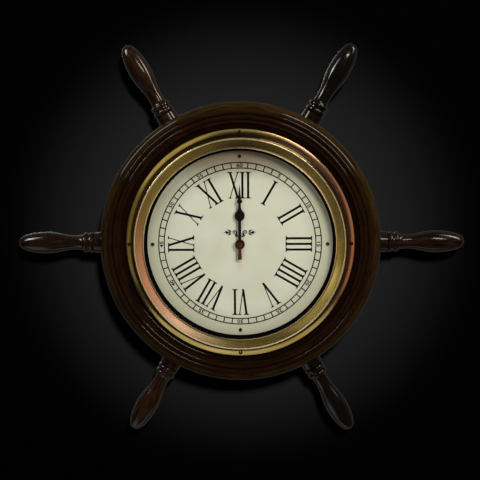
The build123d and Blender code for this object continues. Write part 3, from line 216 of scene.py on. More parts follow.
# %% [markdown]
# ## The light
# A soft lamp on the right in front gives the clock most of its light. One overhead darkens the dial
# under the top of the bezel, a weak one on the left fills the shadows, and a weaker one below stands
# for light from the floor. One lamp could light the wall too, but a soft lamp throws soft shadows.
# So the wall has a lamp of its own, small and far away, for the handles' crisp shadows down on the
# left, and light linking keeps the others off it.

# %% Lamps for the clock and the wall
def lamp(name, place, size, watts, tint, roll=0.0, lights=True, mirrored=True):
    light = bpy.data.lights.new(name, "AREA")
    light.shape = "RECTANGLE"
    light.size, light.size_y = size
    light.energy = watts
    light.color = colour(tint)[:3]
    holder = bpy.data.objects.new(name, light)
    bpy.context.scene.collection.objects.link(holder)
    holder.location = place
    aim = Vector(place) - Vector((0, -FRONT_DEPTH, AXIS_Z))
    turn = aim.to_track_quat("Z", "Y").to_matrix() @ Matrix.Rotation(roll, 3, "Z")
    holder.rotation_euler = turn.to_euler()
    holder.visible_diffuse = lights
    holder.visible_glossy = mirrored
    holder.visible_transmission = mirrored
    holder.visible_camera = False
    print(name, "at", round(aim.length, 2), "m")
    return holder


def receivers(name, piece, left_out=False):
    group = bpy.data.collections.new(name)
    group.objects.link(piece)
    if left_out:
        group.collection_objects[0].light_linking.link_state = "EXCLUDE"
    return group


clock_lamps = [
    lamp("key_lamp", (0.62, -0.98, 0.48), (0.4, 0.4), 14.0, "#fffaf2", mirrored=False),
    lamp("overhead_lamp", (0.0, -0.45, 0.9), (0.6, 0.4), 8.0, "#ffffff", mirrored=False),
    lamp("fill_lamp", (-0.9, -1.1, 0.3), (0.8, 0.8), 2.5, "#fbfcff", mirrored=False),
    lamp("bounce_lamp", (0.0, -0.6, -0.42), (0.9, 0.2), 1.2, "#fffaf2", mirrored=False),
]
not_the_wall = receivers("not_the_wall", wall, left_out=True)
for clock_lamp in clock_lamps:
    clock_lamp.light_linking.receiver_collection = not_the_wall
wall_lamp = lamp("wall_lamp", (0.69, -2.3, 1.41), (0.4, 0.4), 97.0, "#ffffff", mirrored=False)
wall_lamp.light_linking.receiver_collection = receivers("wall_only", wall)

# %% [markdown]
# Brass and lacquer mirror whatever stands in front of them, so what they show is set apart from what
# lights them, as it is when a shiny thing is photographed between cards. Three long glints stand high
# up: one on the right for everything but the wheel, one beside it for the wheel and its beads alone,
# and one on the left. One lamp behind the wall serves views of the back.

# %% Glints and the lamp behind
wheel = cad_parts["wheel_body"]
right_glint = lamp(
    "right_glint", (0.45, -1.1, 0.68), (0.5, 0.08), 2.4, "#fffaf2",
    roll=math.radians(-37), lights=False,
)
right_glint.light_linking.receiver_collection = receivers("not_the_ring", wheel, left_out=True)
bead_glint = lamp(
    "bead_glint", (0.6, -1.07, 0.56), (0.7, 0.12), 4.0, "#fffaf2",
    roll=math.radians(-48), lights=False,
)
bead_glint.light_linking.receiver_collection = receivers("ring_only", wheel)
lamp(
    "left_glint", (-0.85, -0.55, 0.65), (0.1, 0.7), 2.6, "#ffffff",
    roll=math.radians(-19), lights=False,
)
lamp("back_lamp", (-0.7, 1.3, 0.5), (0.8, 0.8), 26.0, "#ffffff")

# %% [markdown]
# The bezel is a ring-shaped mirror: each stretch of it shows another spot of the room. Dim cards,
# each where one stretch looks, give it the bright and dark arcs of the picture. A row holds a card's
# name, place, size, watts, tint and roll in degrees. The bezel joins the group once it is made.

# %% Cards for the brass
CARDS = [
    ("top_card", (0.0, -1.1, 0.62), (0.9, 0.3), 0.34, "#fffbe8", 0),
    ("upper_left_card", (-0.48, -1.1, 0.34), (0.5, 0.4), 0.62, "#fff6d8", 0),
    ("upper_right_card", (0.45, -1.1, 0.52), (0.3, 0.3), 0.22, "#fff0e0", 0),
    ("left_card", (-0.72, -1.1, -0.1), (0.34, 0.8), 0.36, "#fff6d8", 0),
    ("right_card", (0.8, -1.1, -0.16), (0.34, 1.0), 0.5, "#ffd2b4", 0),
    ("low_card", (0.0, -0.36, -0.43), (0.6, 0.2), 0.34, "#fffaf0", 0),
    ("warm_card", (0.29, -1.45, -0.17), (0.12, 0.4), 0.19, "#ffd9c4", 26),
    ("cool_card", (0.16, -1.45, 0.02), (0.16, 0.14), 0.22, "#eaf6ff", 45),
    ("pale_card", (-0.34, -1.45, -0.14), (0.1, 0.34), 0.2, "#f6f4d4", -30),
    ("upper_card", (-0.05, -1.45, 0.09), (0.28, 0.1), 0.016, "#fff4dc", 0),
    ("lower_right_card", (0.22, -1.45, -0.54), (0.32, 0.14), 0.07, "#fff4cc", 35),
    ("lower_left_card", (-0.3, -1.45, -0.52), (0.3, 0.12), 0.04, "#fff4cc", -40),
    ("centre_card", (0.0, -1.45, -0.28), (0.3, 0.3), 0.26, "#fff4dc", 0),
    ("lower_side_card", (0.5, -0.15, -0.75), (0.2, 1.2), 0.6, "#fff0d0", 0),
    ("upper_side_card", (0.15, -0.2, 0.72), (1.0, 0.2), 0.45, "#fff4dc", 0),
]
brass_only = bpy.data.collections.new("brass_only")
for name, place, size, watts, tint, roll in CARDS:
    card = lamp(name, place, size, watts, tint, roll=math.radians(roll), lights=False)
    card.light_linking.receiver_collection = brass_only
print(len(CARDS), "cards")

# %% [markdown]
# The handles are lacquered rods, and a lamp with hard edges would draw hard stripes along them. So
# their boxes fade from the middle outwards, by a few nodes in the lamp itself. The world gives the
# last, even light: a dark grey, as in a studio with its blinds down.

# %% Soft boxes for the handles and the world
def soften(light):
    light.use_nodes = True
    tree = light.node_tree
    spot = add(tree, "ShaderNodeNewGeometry", {})
    off = add(
        tree, "ShaderNodeVectorMath",
        {0: spot.outputs["Parametric"], 1: (0.5, 0.5, 0)}, operation="DISTANCE",
    )
    fall = add(
        tree, "ShaderNodeMapRange",
        {0: off.outputs["Value"], 1: 0.5, 2: 0.05}, interpolation_type="SMOOTHSTEP",
    )
    tree.links.new(fall.outputs[0], tree.nodes["Emission"].inputs["Strength"])


BOXES = [
    ("left_box", (-0.88, -0.52, 0.62), (0.5, 0.5), 9.0, "#ffffff"),
    ("right_strip", (0.84, -0.34, 0.68), (0.28, 1.2), 15.0, "#fffaf4"),
    ("floor_card", (-0.65, -0.4, -0.95), (1.3, 1.0), 2.6, "#fbf8ee"),
    ("skirting_card", (0.0, -0.15, -0.95), (1.6, 0.4), 1.0, "#fbf8ee"),
]
handles_only = bpy.data.collections.new("handles_only")
for name, place, size, watts, tint in BOXES:
    box = lamp(name, place, size, watts, tint, lights=False)
    box.light_linking.receiver_collection = handles_only
    soften(box.data)
world = bpy.data.worlds.new("grey_studio")
bpy.context.scene.world = world
world.use_nodes = True
world.node_tree.nodes["Background"].inputs["Color"].default_value = colour("#262627")

# %% [markdown]
# ## Coordinates of a turned piece
# Nearly everything here was turned or spun round the dial's axis, so grain, spin lines and wear
# follow circles. Distance from the axis and direction round it come from Object coordinates, moved
# to the axis by a Mapping node. The direction is a unit vector, not an angle, so no seam shows at one
# side. Noise in four dimensions uses both: three take the direction, and the fourth takes the radius,
# squeezed far more, so that each streak is long and thin.

# %% Turned coordinates
def turned_coordinates(tree):
    place = add(tree, "ShaderNodeTexCoord", {})
    centred = add(
        tree, "ShaderNodeMapping", {"Vector": place.outputs["Object"], "Location": (0, 0, -AXIS_Z)}
    )
    flat = add(
        tree, "ShaderNodeVectorMath", {0: centred.outputs[0], 1: (1, 0, 1)}, operation="MULTIPLY"
    )
    radius = add(tree, "ShaderNodeVectorMath", {0: flat.outputs[0]}, operation="LENGTH")
    direction = add(tree, "ShaderNodeVectorMath", {0: flat.outputs[0]}, operation="NORMALIZE")
    depth = add(tree, "ShaderNodeSeparateXYZ", {0: centred.outputs[0]})
    return radius.outputs["Value"], direction.outputs["Vector"], depth.outputs["Y"]


def ring_pattern(tree, direction, rings, spread, width, detail, roughness=0.5):
    way = add(tree, "ShaderNodeVectorMath", {0: direction, "Scale": spread}, operation="SCALE")
    step = add(tree, "ShaderNodeMath", {0: rings, 1: width}, operation="DIVIDE")
    noise = add(
        tree, "ShaderNodeTexNoise",
        {
            "Vector": way.outputs[0], "W": step.outputs[0],
            "Scale": 1.0, "Detail": detail, "Roughness": roughness,
        },
        noise_dimensions="4D",
    )
    return noise.outputs["Fac"]


print("axis height", round(AXIS_Z, 4))

# %% [markdown]
# ## The wheel's wood
# A hardwood disc, turned on a lathe, stained nearly black-brown and lacquered. The eye gets streaks
# that run round the ring, short dark pores, an olive-brown outer edge and a wet-looking gloss. The
# gloss is a coat on top, as on the real wheel, so the wood below it can stay dull.

# %% Ring wood: grain
ring_wood, tree, shader = new_material(
    "stained_lacquered_hardwood_ring",
    roughness=0.5, specular_ior_level=0.0, coat_weight=0.6, coat_roughness=0.1,
)
radius, direction, depth = turned_coordinates(tree)
# On a steep side the radius hardly changes, so the depth moves the pattern on as well.
slant = add(tree, "ShaderNodeMath", {0: depth, 1: 0.8, 2: radius}, operation="MULTIPLY_ADD")
rings = slant.outputs[0]
# Streaks 1.6 mm wide and about 20 mm long.
streaks = ring_pattern(tree, direction, rings, 7.0, 1.6 * MM, 4.0, roughness=0.6)
# Broad figure, 9 mm wide.
figure = ring_pattern(tree, direction, rings, 2.2, 9 * MM, 2.0)
# Pores 0.6 mm wide and 6 mm long: real ones are finer, these are as coarse as they need to show.
pores = ring_pattern(tree, direction, rings, 24.0, 0.6 * MM, 1.0)
print("ring wood, nodes for the grain", len(tree.nodes))

# %% [markdown]
# The stain is laid on in the order in which a finisher does it: red-brown on the front, olive-brown
# where the outer edge took less, painted shade dark in the cove by the bezel, and then the streaks
# and pores that drank most of it. One function lays such coats over each other, each by its own
# share, and the brass and the dial use it too.

# %% Ring wood: stain and painted shade
def layered(tree, ground, coats):
    for share, coat in coats:
        mix = add(tree, "ShaderNodeMix", {0: share, 6: ground, 7: coat}, data_type="RGBA")
        ground = mix.outputs[2]
    return ground


red_brown = add(
    tree, "ShaderNodeMix",
    {0: figure, 6: colour("#110803"), 7: colour("#241308")}, data_type="RGBA",
)
olive_brown = add(
    tree, "ShaderNodeMix",
    {0: figure, 6: colour("#1d1307"), 7: colour("#37270d")}, data_type="RGBA",
)
outer = add(tree, "ShaderNodeMapRange", {0: radius, 1: 132 * MM, 2: 138 * MM})
# Painted shade darkens the cove by the bezel.
cove = add(tree, "ShaderNodeMapRange", {0: radius, 1: 122 * MM, 2: 118 * MM, 4: 0.8})
streak_share = add(tree, "ShaderNodeMapRange", {0: streaks, 1: 0.42, 2: 0.66})
pore_share = add(tree, "ShaderNodeMapRange", {0: pores, 1: 0.60, 2: 0.72, 4: 0.75})
wood = layered(tree, red_brown.outputs[2], [
    (outer.outputs[0], olive_brown.outputs[2]),
    (cove.outputs[0], colour("#070301")),
    (streak_share.outputs[0], colour("#0f0703")),
    (pore_share.outputs[0], colour("#060201")),
])
print("ring wood, nodes with the stain", len(tree.nodes))

# %% [markdown]
# The flat back and the pocket were sanded and only wiped with stain: brown, with straight grain along
# the board. A second material would need the faces sorted by hand. One material can tell by depth and
# radius where the front ends.

# %% Ring wood: wiped back
def finish_nodes(material, *names):
    for name in names:
        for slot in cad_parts[name].material_slots:
            slot.material = material
    print(material.name, "on", len(names), "nodes")


# Streaks 2.4 mm wide and 40 mm long.
place = add(tree, "ShaderNodeTexCoord", {})
board = add(
    tree, "ShaderNodeMapping",
    {"Vector": place.outputs["Object"], "Scale": (1 / (40 * MM), 1 / (2.4 * MM), 1 / (2.4 * MM))},
)
grain = add(
    tree, "ShaderNodeTexNoise",
    {"Vector": board.outputs[0], "Scale": 1.0, "Detail": 5.0, "Roughness": 0.6},
)
grain_share = add(tree, "ShaderNodeMapRange", {0: grain.outputs["Fac"], 1: 0.3, 2: 0.7})
wiped = add(
    tree, "ShaderNodeMix",
    {0: grain_share.outputs[0], 6: colour("#5a3c22"), 7: colour("#2c1a0d")}, data_type="RGBA",
)
behind = add(tree, "ShaderNodeMapRange", {0: depth, 1: -0.6 * MM, 2: -0.3 * MM})
pocket = add(tree, "ShaderNodeMapRange", {0: radius, 1: 100 * MM, 2: 98 * MM})
bare = add(
    tree, "ShaderNodeMath", {0: behind.outputs[0], 1: pocket.outputs[0]}, operation="MAXIMUM"
)
whole = layered(tree, wood, [(bare.outputs[0], wiped.outputs[2])])
tree.links.new(whole, shader.inputs["Base Color"])
relief = add(tree, "ShaderNodeMath", {0: pores, 1: streaks}, operation="ADD")
bump = add(
    tree, "ShaderNodeBump", {"Height": relief.outputs[0], "Strength": 0.12, "Distance": 0.2 * MM}
)
tree.links.new(bump.outputs[0], shader.inputs["Normal"])
finish_nodes(ring_wood, "wheel_body")

# %% [markdown]
# ## The handles' wood
# Each handle is turned from a straight stick of the same stained and lacquered hardwood, so its grain
# runs along it, and along it means away from the dial's axis. Six materials could follow six sticks,
# but the same coordinates serve them all: now the direction is squeezed and the radius is long.

# %% Handle wood: grain
HANDLE_MIDDLE = 0.185  # from the dial's axis
handle_wood, tree, shader = new_material(
    "stained_lacquered_hardwood_handle",
    roughness=0.5, specular_ior_level=0.0, coat_weight=1.0, coat_roughness=0.15,
)
radius, direction, depth = turned_coordinates(tree)
# Streaks 1.5 mm wide at the middle of a handle and about 30 mm long.
across = add(
    tree, "ShaderNodeVectorMath",
    {0: direction, "Scale": HANDLE_MIDDLE / (1.5 * MM)}, operation="SCALE",
)
deep = add(tree, "ShaderNodeMath", {0: depth, 1: 1.5 * MM}, operation="DIVIDE")
deep_way = add(tree, "ShaderNodeCombineXYZ", {"Y": deep.outputs[0]})
stick = add(
    tree, "ShaderNodeVectorMath", {0: across.outputs[0], 1: deep_way.outputs[0]}, operation="ADD"
)
along = add(tree, "ShaderNodeMath", {0: radius, 1: 30 * MM}, operation="DIVIDE")
streaks = add(
    tree, "ShaderNodeTexNoise",
    {
        "Vector": stick.outputs[0], "W": along.outputs[0],
        "Scale": 1.0, "Detail": 4.0, "Roughness": 0.6,
    },
    noise_dimensions="4D",
)
figure = add(
    tree, "ShaderNodeTexNoise",
    {"Vector": stick.outputs[0], "W": along.outputs[0], "Scale": 0.22, "Detail": 2.0},
    noise_dimensions="4D",
)
print("handle wood, nodes for the grain", len(tree.nodes))

# %% [markdown]
# No two sticks take stain alike. Of the six, those at 7 and 11 o'clock came out red-brown, those at 3
# and 9 brown, and those at 1 and 5 nearly black. Width times height of the direction tells the three
# pairs apart, so one number sets the tone.

# %% Handle wood: stain
aim = add(tree, "ShaderNodeSeparateXYZ", {0: direction})
upright = add(tree, "ShaderNodeMath", {0: aim.outputs["Z"]}, operation="ABSOLUTE")
leaning = add(
    tree, "ShaderNodeMath", {0: aim.outputs["X"], 1: upright.outputs[0]}, operation="MULTIPLY"
)
redness = add(
    tree, "ShaderNodeMapRange", {0: leaning.outputs[0], 1: 0.43, 2: -0.43, 3: 0.05, 4: 0.9}
)
dark_stain = add(
    tree, "ShaderNodeMix",
    {0: figure.outputs["Fac"], 6: colour("#050402"), 7: colour("#110e08")}, data_type="RGBA",
)
red_stain = add(
    tree, "ShaderNodeMix",
    {0: figure.outputs["Fac"], 6: colour("#140a04"), 7: colour("#331d0e")}, data_type="RGBA",
)
streak_share = add(tree, "ShaderNodeMapRange", {0: streaks.outputs["Fac"], 1: 0.45, 2: 0.62})
wood = layered(tree, dark_stain.outputs[2], [
    (redness.outputs[0], red_stain.outputs[2]),
    (streak_share.outputs[0], colour("#080402")),
])
tree.links.new(wood, shader.inputs["Base Color"])
bump = add(
    tree, "ShaderNodeBump",
    {"Height": streaks.outputs["Fac"], "Strength": 0.08, "Distance": 0.2 * MM},
)
tree.links.new(bump.outputs[0], shader.inputs["Normal"])
print("handle wood, nodes in all", len(tree.nodes))

# %% [markdown]
# ## The handles
# Highlights run along a handle's curves and show every facet, so the handles are turned again in fine
# steps. The outline is drawn along a stick that lies on the x axis: a tenon, a plain foot, a bead and
# a collar with grooves between, then a neck, a belly and a slightly flattened end. Each curve is a
# Bezier piece, so a few knots in millimetres give as many points as the gloss needs.

# %% Handle outline
CURVE_POINTS = 12
FOOT = [(-29.2, 0), (-29.2, 6.5), (-1.2, 6.5), (-1.2, 10.9), (7.4, 10.4), (8.4, 8.5)]
CURVES = [
    [(8.4, 8.5), (8.8, 11.03), (13.2, 11.03), (13.6, 8.5)],
    [(14.6, 8.5), (14.9, 10.77), (18.9, 10.77), (19.2, 8.5)],
    [(19.2, 8.5), (20.6, 7.3), (24.0, 7.2), (28.0, 7.2)],
    [(28.0, 7.2), (38.0, 7.2), (46.0, 11.1), (57.0, 11.1)],
    [(57.0, 11.1), (67.0, 11.1), (76.0, 9.6), (82.6, 6.4)],
    [(82.6, 6.4), (84.2, 5.3), (85.8, 3.8), (86.0, 1.6)],
]
END = (86.0, 0)
outline = [Vector((along, 0, radius)) for along, radius in FOOT]
for knots in CURVES:
    ends = [Vector((along, 0, radius)) for along, radius in knots]
    outline += interpolate_bezier(*ends, CURVE_POINTS)
outline.append(Vector((END[0], 0, END[1])))
print("handle outline", len(outline), "points")

# %% [markdown]
# A lathe's work is an outline spun once round its axis, and Blender's spin does just that. The stick
# is spun lying on the x axis, turned to its hour and moved to the wheel's edge. Its place is then in
# its mesh, and the object itself stays at the origin, as the CAD nodes do.

# %% Handles
WHEEL_RADIUS = 142.3 * MM
HANDLE_DEPTH = 16.16 * MM
HANDLE_STEPS = 64
HANDLE_WELD = 0.01 * MM


def lathe(bm, axis, steps, weld):
    bmesh.ops.spin(
        bm, geom=bm.verts[:] + bm.edges[:], cent=(0, 0, 0), axis=axis, angle=math.tau,
        steps=steps, use_merge=True,
    )
    bmesh.ops.remove_doubles(bm, verts=bm.verts, dist=weld)
    bmesh.ops.recalc_face_normals(bm, faces=bm.faces)
    for face in bm.faces:
        face.smooth = True


def clock_way(angle):
    return Vector((math.sin(angle), 0, math.cos(angle)))


def new_piece(name, bm, material, body):
    mesh = bpy.data.meshes.new(name)
    bm.to_mesh(mesh)
    bm.free()
    mesh.materials.append(material)
    piece = bpy.data.objects.new(name, mesh)
    bpy.context.scene.collection.objects.link(piece)
    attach(piece, body)
    print(name, len(mesh.polygons), "faces")
    return piece


for hour in (1, 3, 5, 7, 9, 11):
    bm = bmesh.new()
    points = [bm.verts.new(point * MM) for point in outline]
    for first, second in zip(points, points[1:]):
        bm.edges.new((first, second))
    bmesh.ops.remove_doubles(bm, verts=bm.verts, dist=HANDLE_WELD)
    lathe(bm, (1, 0, 0), HANDLE_STEPS, HANDLE_WELD)
    aim = math.radians(30 * hour)
    bmesh.ops.rotate(bm, verts=bm.verts, matrix=Matrix.Rotation(aim - math.pi / 2, 3, "Y"))
    wheel_edge = clock_way(aim) * WHEEL_RADIUS
    bmesh.ops.translate(bm, verts=bm.verts, vec=wheel_edge + Vector((0, -HANDLE_DEPTH, AXIS_Z)))
    handle = new_piece("turned_handle_%d" % hour, bm, handle_wood, "wheel")
    handle.data.set_sharp_from_angle(angle=math.radians(35))
    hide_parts("handle_%d_oclock" % hour)
    handles_only.objects.link(handle)

# %% [markdown]
# ## The bezel's brass
# Thin brass sheet, spun over a former, polished on the wheel and left to darken. Polishing leaves
# fine circles, and handling leaves duller, browner clouds, while coppery arcs are painted
# reflections.
# The circles and clouds use the same pattern as the wood's streaks, because they run round the same
# axis.

# %% Spun brass: lines and clouds
spun_brass, tree, shader = new_material("spun_polished_brass", metallic=1.0)
radius, direction, depth = turned_coordinates(tree)
slant = add(tree, "ShaderNodeMath", {0: depth, 1: 1.0, 2: radius}, operation="MULTIPLY_ADD")
rings = slant.outputs[0]
# Polishing circles 0.5 mm apart, coarser than real ones so that they show.
lines = ring_pattern(tree, direction, rings, 3.0, 0.5 * MM, 2.0)
# Clouds of tarnish 14 mm wide.
clouds = ring_pattern(tree, direction, rings, 1.7, 14 * MM, 3.0)
tarnish = add(tree, "ShaderNodeMapRange", {0: clouds, 1: 0.38, 2: 0.66})
tone = add(
    tree, "ShaderNodeMix",
    {0: tarnish.outputs[0], 6: colour("#b8a268"), 7: colour("#8c783c")}, data_type="RGBA",
)
line_share = add(tree, "ShaderNodeMapRange", {0: lines, 1: 0.5, 2: 0.75, 4: 0.35})
dulled = add(tree, "ShaderNodeMapRange", {0: clouds, 1: 0.3, 2: 0.7, 3: 0.14, 4: 0.24})
tree.links.new(dulled.outputs[0], shader.inputs["Roughness"])
print("spun brass, nodes for lines and clouds", len(tree.nodes))

# %% [markdown]
# Not all of this is wear. The coppery tone on the slope low on the left and on the flange on the
# right is a painted reflection of warm light. The corner at the foot of the steep wall is brown with
# old polish and painted shade. The ridge and the lip each get a painted highlight, a bright line. A
# dot product with a direction finds a side of the ring, and a distance from one radius finds a line
# on it.

# %% Spun brass: wear and painted light
# Painted reflection: a coppery tone low on the left of the slope and on the right of the flange.
slope_side = add(
    tree, "ShaderNodeVectorMath", {0: direction, 1: (-0.87, 0, -0.5)}, operation="DOT_PRODUCT"
)
slope_warm_reflection = add(
    tree, "ShaderNodeMapRange", {0: slope_side.outputs["Value"], 1: 0.55, 2: 0.95}
)
flange_side = add(
    tree, "ShaderNodeVectorMath", {0: direction, 1: (0.94, 0, 0.34)}, operation="DOT_PRODUCT"
)
flange_warm_reflection = add(
    tree, "ShaderNodeMapRange", {0: flange_side.outputs["Value"], 1: 0.45, 2: 0.9}
)
on_flange = add(tree, "ShaderNodeMapRange", {0: radius, 1: 106.5 * MM, 2: 108.5 * MM})
warm_reflection_share = add(
    tree, "ShaderNodeMix",
    {0: on_flange.outputs[0], 2: slope_warm_reflection.outputs[0], 3: flange_warm_reflection.outputs[0]},
)
# The brown corner reaches about 2 mm to each side: old polish, and painted shade at the foot of
# the steep wall.
off_corner = add(tree, "ShaderNodeMath", {0: radius, 1: -108.6 * MM}, operation="ADD")
near_corner = add(tree, "ShaderNodeMath", {0: off_corner.outputs[0]}, operation="ABSOLUTE")
corner = add(
    tree, "ShaderNodeMapRange", {0: near_corner.outputs[0], 1: 2.3 * MM, 2: 1.5 * MM, 4: 0.92}
)
# Painted highlights: a bright line on the ridge and one on the lip.
off_ridge = add(tree, "ShaderNodeMath", {0: radius, 1: -105.5 * MM}, operation="ADD")
near_ridge = add(tree, "ShaderNodeMath", {0: off_ridge.outputs[0]}, operation="ABSOLUTE")
ridge_highlight = add(
    tree, "ShaderNodeMapRange", {0: near_ridge.outputs[0], 1: 1.1 * MM, 2: 0.5 * MM}
)
lip_highlight = add(tree, "ShaderNodeMapRange", {0: radius, 1: 96.8 * MM, 2: 96.2 * MM})
wiped = add(
    tree, "ShaderNodeMath", {0: ridge_highlight.outputs[0], 1: lip_highlight.outputs[0]}, operation="MAXIMUM"
)
# Painted shade: the lip's cut edge is painted black.
cut_edge_shade = add(tree, "ShaderNodeMapRange", {0: radius, 1: 95.95 * MM, 2: 95.85 * MM})
brass = layered(tree, tone.outputs[2], [
    (line_share.outputs[0], colour("#6a5426")),
    (warm_reflection_share.outputs[0], colour("#c69a78")),
    (corner.outputs[0], colour("#2b150a")),
    (wiped.outputs[0], colour("#f2e2b4")),
    (cut_edge_shade.outputs[0], colour("#0c0906")),
])
tree.links.new(brass, shader.inputs["Base Color"])
print("spun brass, nodes in all", len(tree.nodes))

# %% [markdown]
# ## The bezel
# A mirror shows every facet, and the CAD bezel has facets up to 7 mm long. So the same section is
# drawn once more: the flange is a vertex spun about a centre far behind it, the ridge is a bevelled
# corner, and the whole outline is spun round the dial's axis in one-degree steps.

# %% Bezel
def section(radius, depth):
    return Vector((radius * MM, -depth * MM, 0))


FLANGE_CENTRE = section(108.64, 12.86)
FLANGE_ARC = math.radians(17.44)
FLANGE_STEPS = 8
FLANGE_FOOT = section(115.08, 32.32)
FLANGE_RIM = section(115.08, 33.22)
CORNERS = [
    section(106.3, 45.85), section(97.7, 43.96), section(95.7, 43.96), section(95.7, 42.78),
    section(97.7, 42.78), section(105.1, 44.66), section(107.5, 32.32),
]
RIDGE_BEVEL = 1.52 * MM
RIDGE_SEGMENTS = 14
BEZEL_STEPS = 360
BEZEL_WELD = 0.001 * MM
bm = bmesh.new()
rim = bm.verts.new(FLANGE_RIM)
bmesh.ops.spin(
    bm, geom=[rim], cent=FLANGE_CENTRE, axis=(0, 0, 1), angle=-FLANGE_ARC, steps=FLANGE_STEPS
)
bm.verts.ensure_lookup_table()
outline = list(bm.verts) + [bm.verts.new(corner) for corner in CORNERS + [FLANGE_FOOT]]
print("flange ends at", [round(value / MM, 2) for value in outline[FLANGE_STEPS].co])
bm.faces.new(outline)
bmesh.ops.bevel(
    bm, geom=[outline[FLANGE_STEPS + 1]], offset=RIDGE_BEVEL, offset_type="OFFSET",
    segments=RIDGE_SEGMENTS, profile=0.5, affect="VERTICES", material=-1,
)
bmesh.ops.delete(bm, geom=bm.faces[:], context="FACES_ONLY")
lathe(bm, (0, 1, 0), BEZEL_STEPS, BEZEL_WELD)
bmesh.ops.translate(bm, verts=bm.verts, vec=(0, 0, AXIS_Z))
bezel = new_piece("spun_bezel", bm, spun_brass, "wheel")
bezel.data.set_sharp_from_angle(angle=math.radians(10))
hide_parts("brass_bezel")
brass_only.objects.link(bezel)

# %% [markdown]
# ## The glass
# A flat disc of window glass, 2 mm thick. It bends and mirrors what is seen through it, but lamps
# must still reach the dial. Glass alone would need many more rays for that, so rays that only ask for
# light pass straight through.

# %% Clear glass
clear_glass, tree, shader = new_material(
    "clear_sheet_glass",
    base_color=colour("#fbfdfb"), roughness=0.0, ior=1.5, transmission_weight=1.0,
)
path = add(tree, "ShaderNodeLightPath", {})
asks = add(
    tree, "ShaderNodeMath",
    {0: path.outputs["Is Shadow Ray"], 1: path.outputs["Is Diffuse Ray"]}, operation="MAXIMUM",
)
clear = add(tree, "ShaderNodeBsdfTransparent", {})
mix = add(
    tree, "ShaderNodeMixShader", {0: asks.outputs[0], 1: shader.outputs[0], 2: clear.outputs[0]}
)
tree.links.new(mix.outputs[0], tree.nodes["Material Output"].inputs["Surface"])
finish_nodes(clear_glass, "glass")

# %% [markdown]
# ## The dial
# A metal disc with a satin cream lacquer, very slightly cloudy after years behind glass. One even
# cream would look like card, so broad clouds of noise vary it. Radius and height add painted shade:
# greyer towards the rim, partly with age and partly as shade under the bezel, and browner at the top,
# where the bezel's top would shade it.

# %% Cream dial lacquer
dial_cream, tree, shader = new_material("satin_cream_dial_lacquer", roughness=0.45)
radius = turned_coordinates(tree)[0]
place = add(tree, "ShaderNodeTexCoord", {})
# Clouds about 35 mm across.
clouds = add(
    tree, "ShaderNodeTexNoise",
    {"Vector": place.outputs["Object"], "Scale": 1 / (35 * MM), "Detail": 3.0, "Roughness": 0.55},
)
cloud_share = add(tree, "ShaderNodeMapRange", {0: clouds.outputs["Fac"], 1: 0.35, 2: 0.7})
cream = add(
    tree, "ShaderNodeMix",
    {0: cloud_share.outputs[0], 6: colour("#cbcbb9"), 7: colour("#c1c1ad")}, data_type="RGBA",
)
# Greyer towards the rim: partly age, partly painted shade under the bezel.
rim_age_and_shade = add(tree, "ShaderNodeMapRange", {0: radius, 1: 66 * MM, 2: 90 * MM, 4: 0.85})
# Painted shade of the bezel's top browns it at the top, in clouds, from about 70 mm above the
# middle.
height = add(tree, "ShaderNodeSeparateXYZ", {0: place.outputs["Object"]})
cloudy = add(
    tree, "ShaderNodeMath",
    {0: clouds.outputs["Fac"], 1: 24 * MM, 2: height.outputs["Z"]}, operation="MULTIPLY_ADD",
)
browned = add(
    tree, "ShaderNodeMapRange",
    {0: cloudy.outputs[0], 1: AXIS_Z + 72 * MM, 2: AXIS_Z + 100 * MM, 4: 0.95},
    interpolation_type="SMOOTHSTEP",
)
lacquer = layered(tree, cream.outputs[2], [
    (rim_age_and_shade.outputs[0], colour("#a5a48c")),
    (browned.outputs[0], colour("#7a6c58")),
])
tree.links.new(lacquer, shader.inputs["Base Color"])
# Lacquer levels out, but not quite: soft ripples about 1.5 mm across.
ripple = add(
    tree, "ShaderNodeTexNoise",
    {"Vector": place.outputs["Object"], "Scale": 1 / (1.5 * MM), "Detail": 1.0},
)
bump = add(
    tree, "ShaderNodeBump",
    {"Height": ripple.outputs["Fac"], "Strength": 0.04, "Distance": 0.1 * MM},
)
tree.links.new(bump.outputs[0], shader.inputs["Normal"])
finish_nodes(dial_cream, "dial_plate")

# %% [markdown]
# ## Printing on the dial
# The print is a thin film of black ink. A font could give the numerals, but these are wide and
# heavy in a way of their own: straight strokes, thick or thin, each closed by a serif. So a stroke is
# four corners and a serif is six. Each numeral is drawn upright, then turned to its hour with its
# feet to the middle. The film gets its thickness last, all at once.

# %% Strokes of the numerals
NUMERAL_HEIGHT = 26.6 * MM
THICK = 2.3 * MM
THIN = 0.95 * MM
SERIF_LENGTH = 1.6 * MM  # beyond the stroke on each side
THIN_SERIF = 0.75  # the share of it that a thin stroke gets
SERIF_EDGE = 0.5 * MM
SERIF_BRACKET = 1.5 * MM
REACH = {"I": 0.0, "V": 3.6 * MM, "X": 4.0 * MM}  # from the middle to a leaning stroke's end


def patch(bm, corners):
    bm.faces.new([bm.verts.new((across, 0, up)) for across, up in corners])


def stroke(bm, foot, head, width):
    half = width / 2
    patch(bm, [
        (foot[0] - half, foot[1]), (foot[0] + half, foot[1]),
        (head[0] + half, head[1]), (head[0] - half, head[1]),
    ])


def serif(bm, end, lean, width, upward):
    tip = width / 2 + SERIF_LENGTH * (THIN_SERIF if width < THICK else 1.0)
    half = width / 2
    rise = SERIF_BRACKET * upward
    corners = [
        (end[0] - tip, end[1]),
        (end[0] + tip, end[1]),
        (end[0] + tip, end[1] + SERIF_EDGE * upward),
        (end[0] + half + lean * rise, end[1] + rise),
        (end[0] - half + lean * rise, end[1] + rise),
        (end[0] - tip, end[1] + SERIF_EDGE * upward),
    ]
    patch(bm, corners if upward > 0 else corners[::-1])


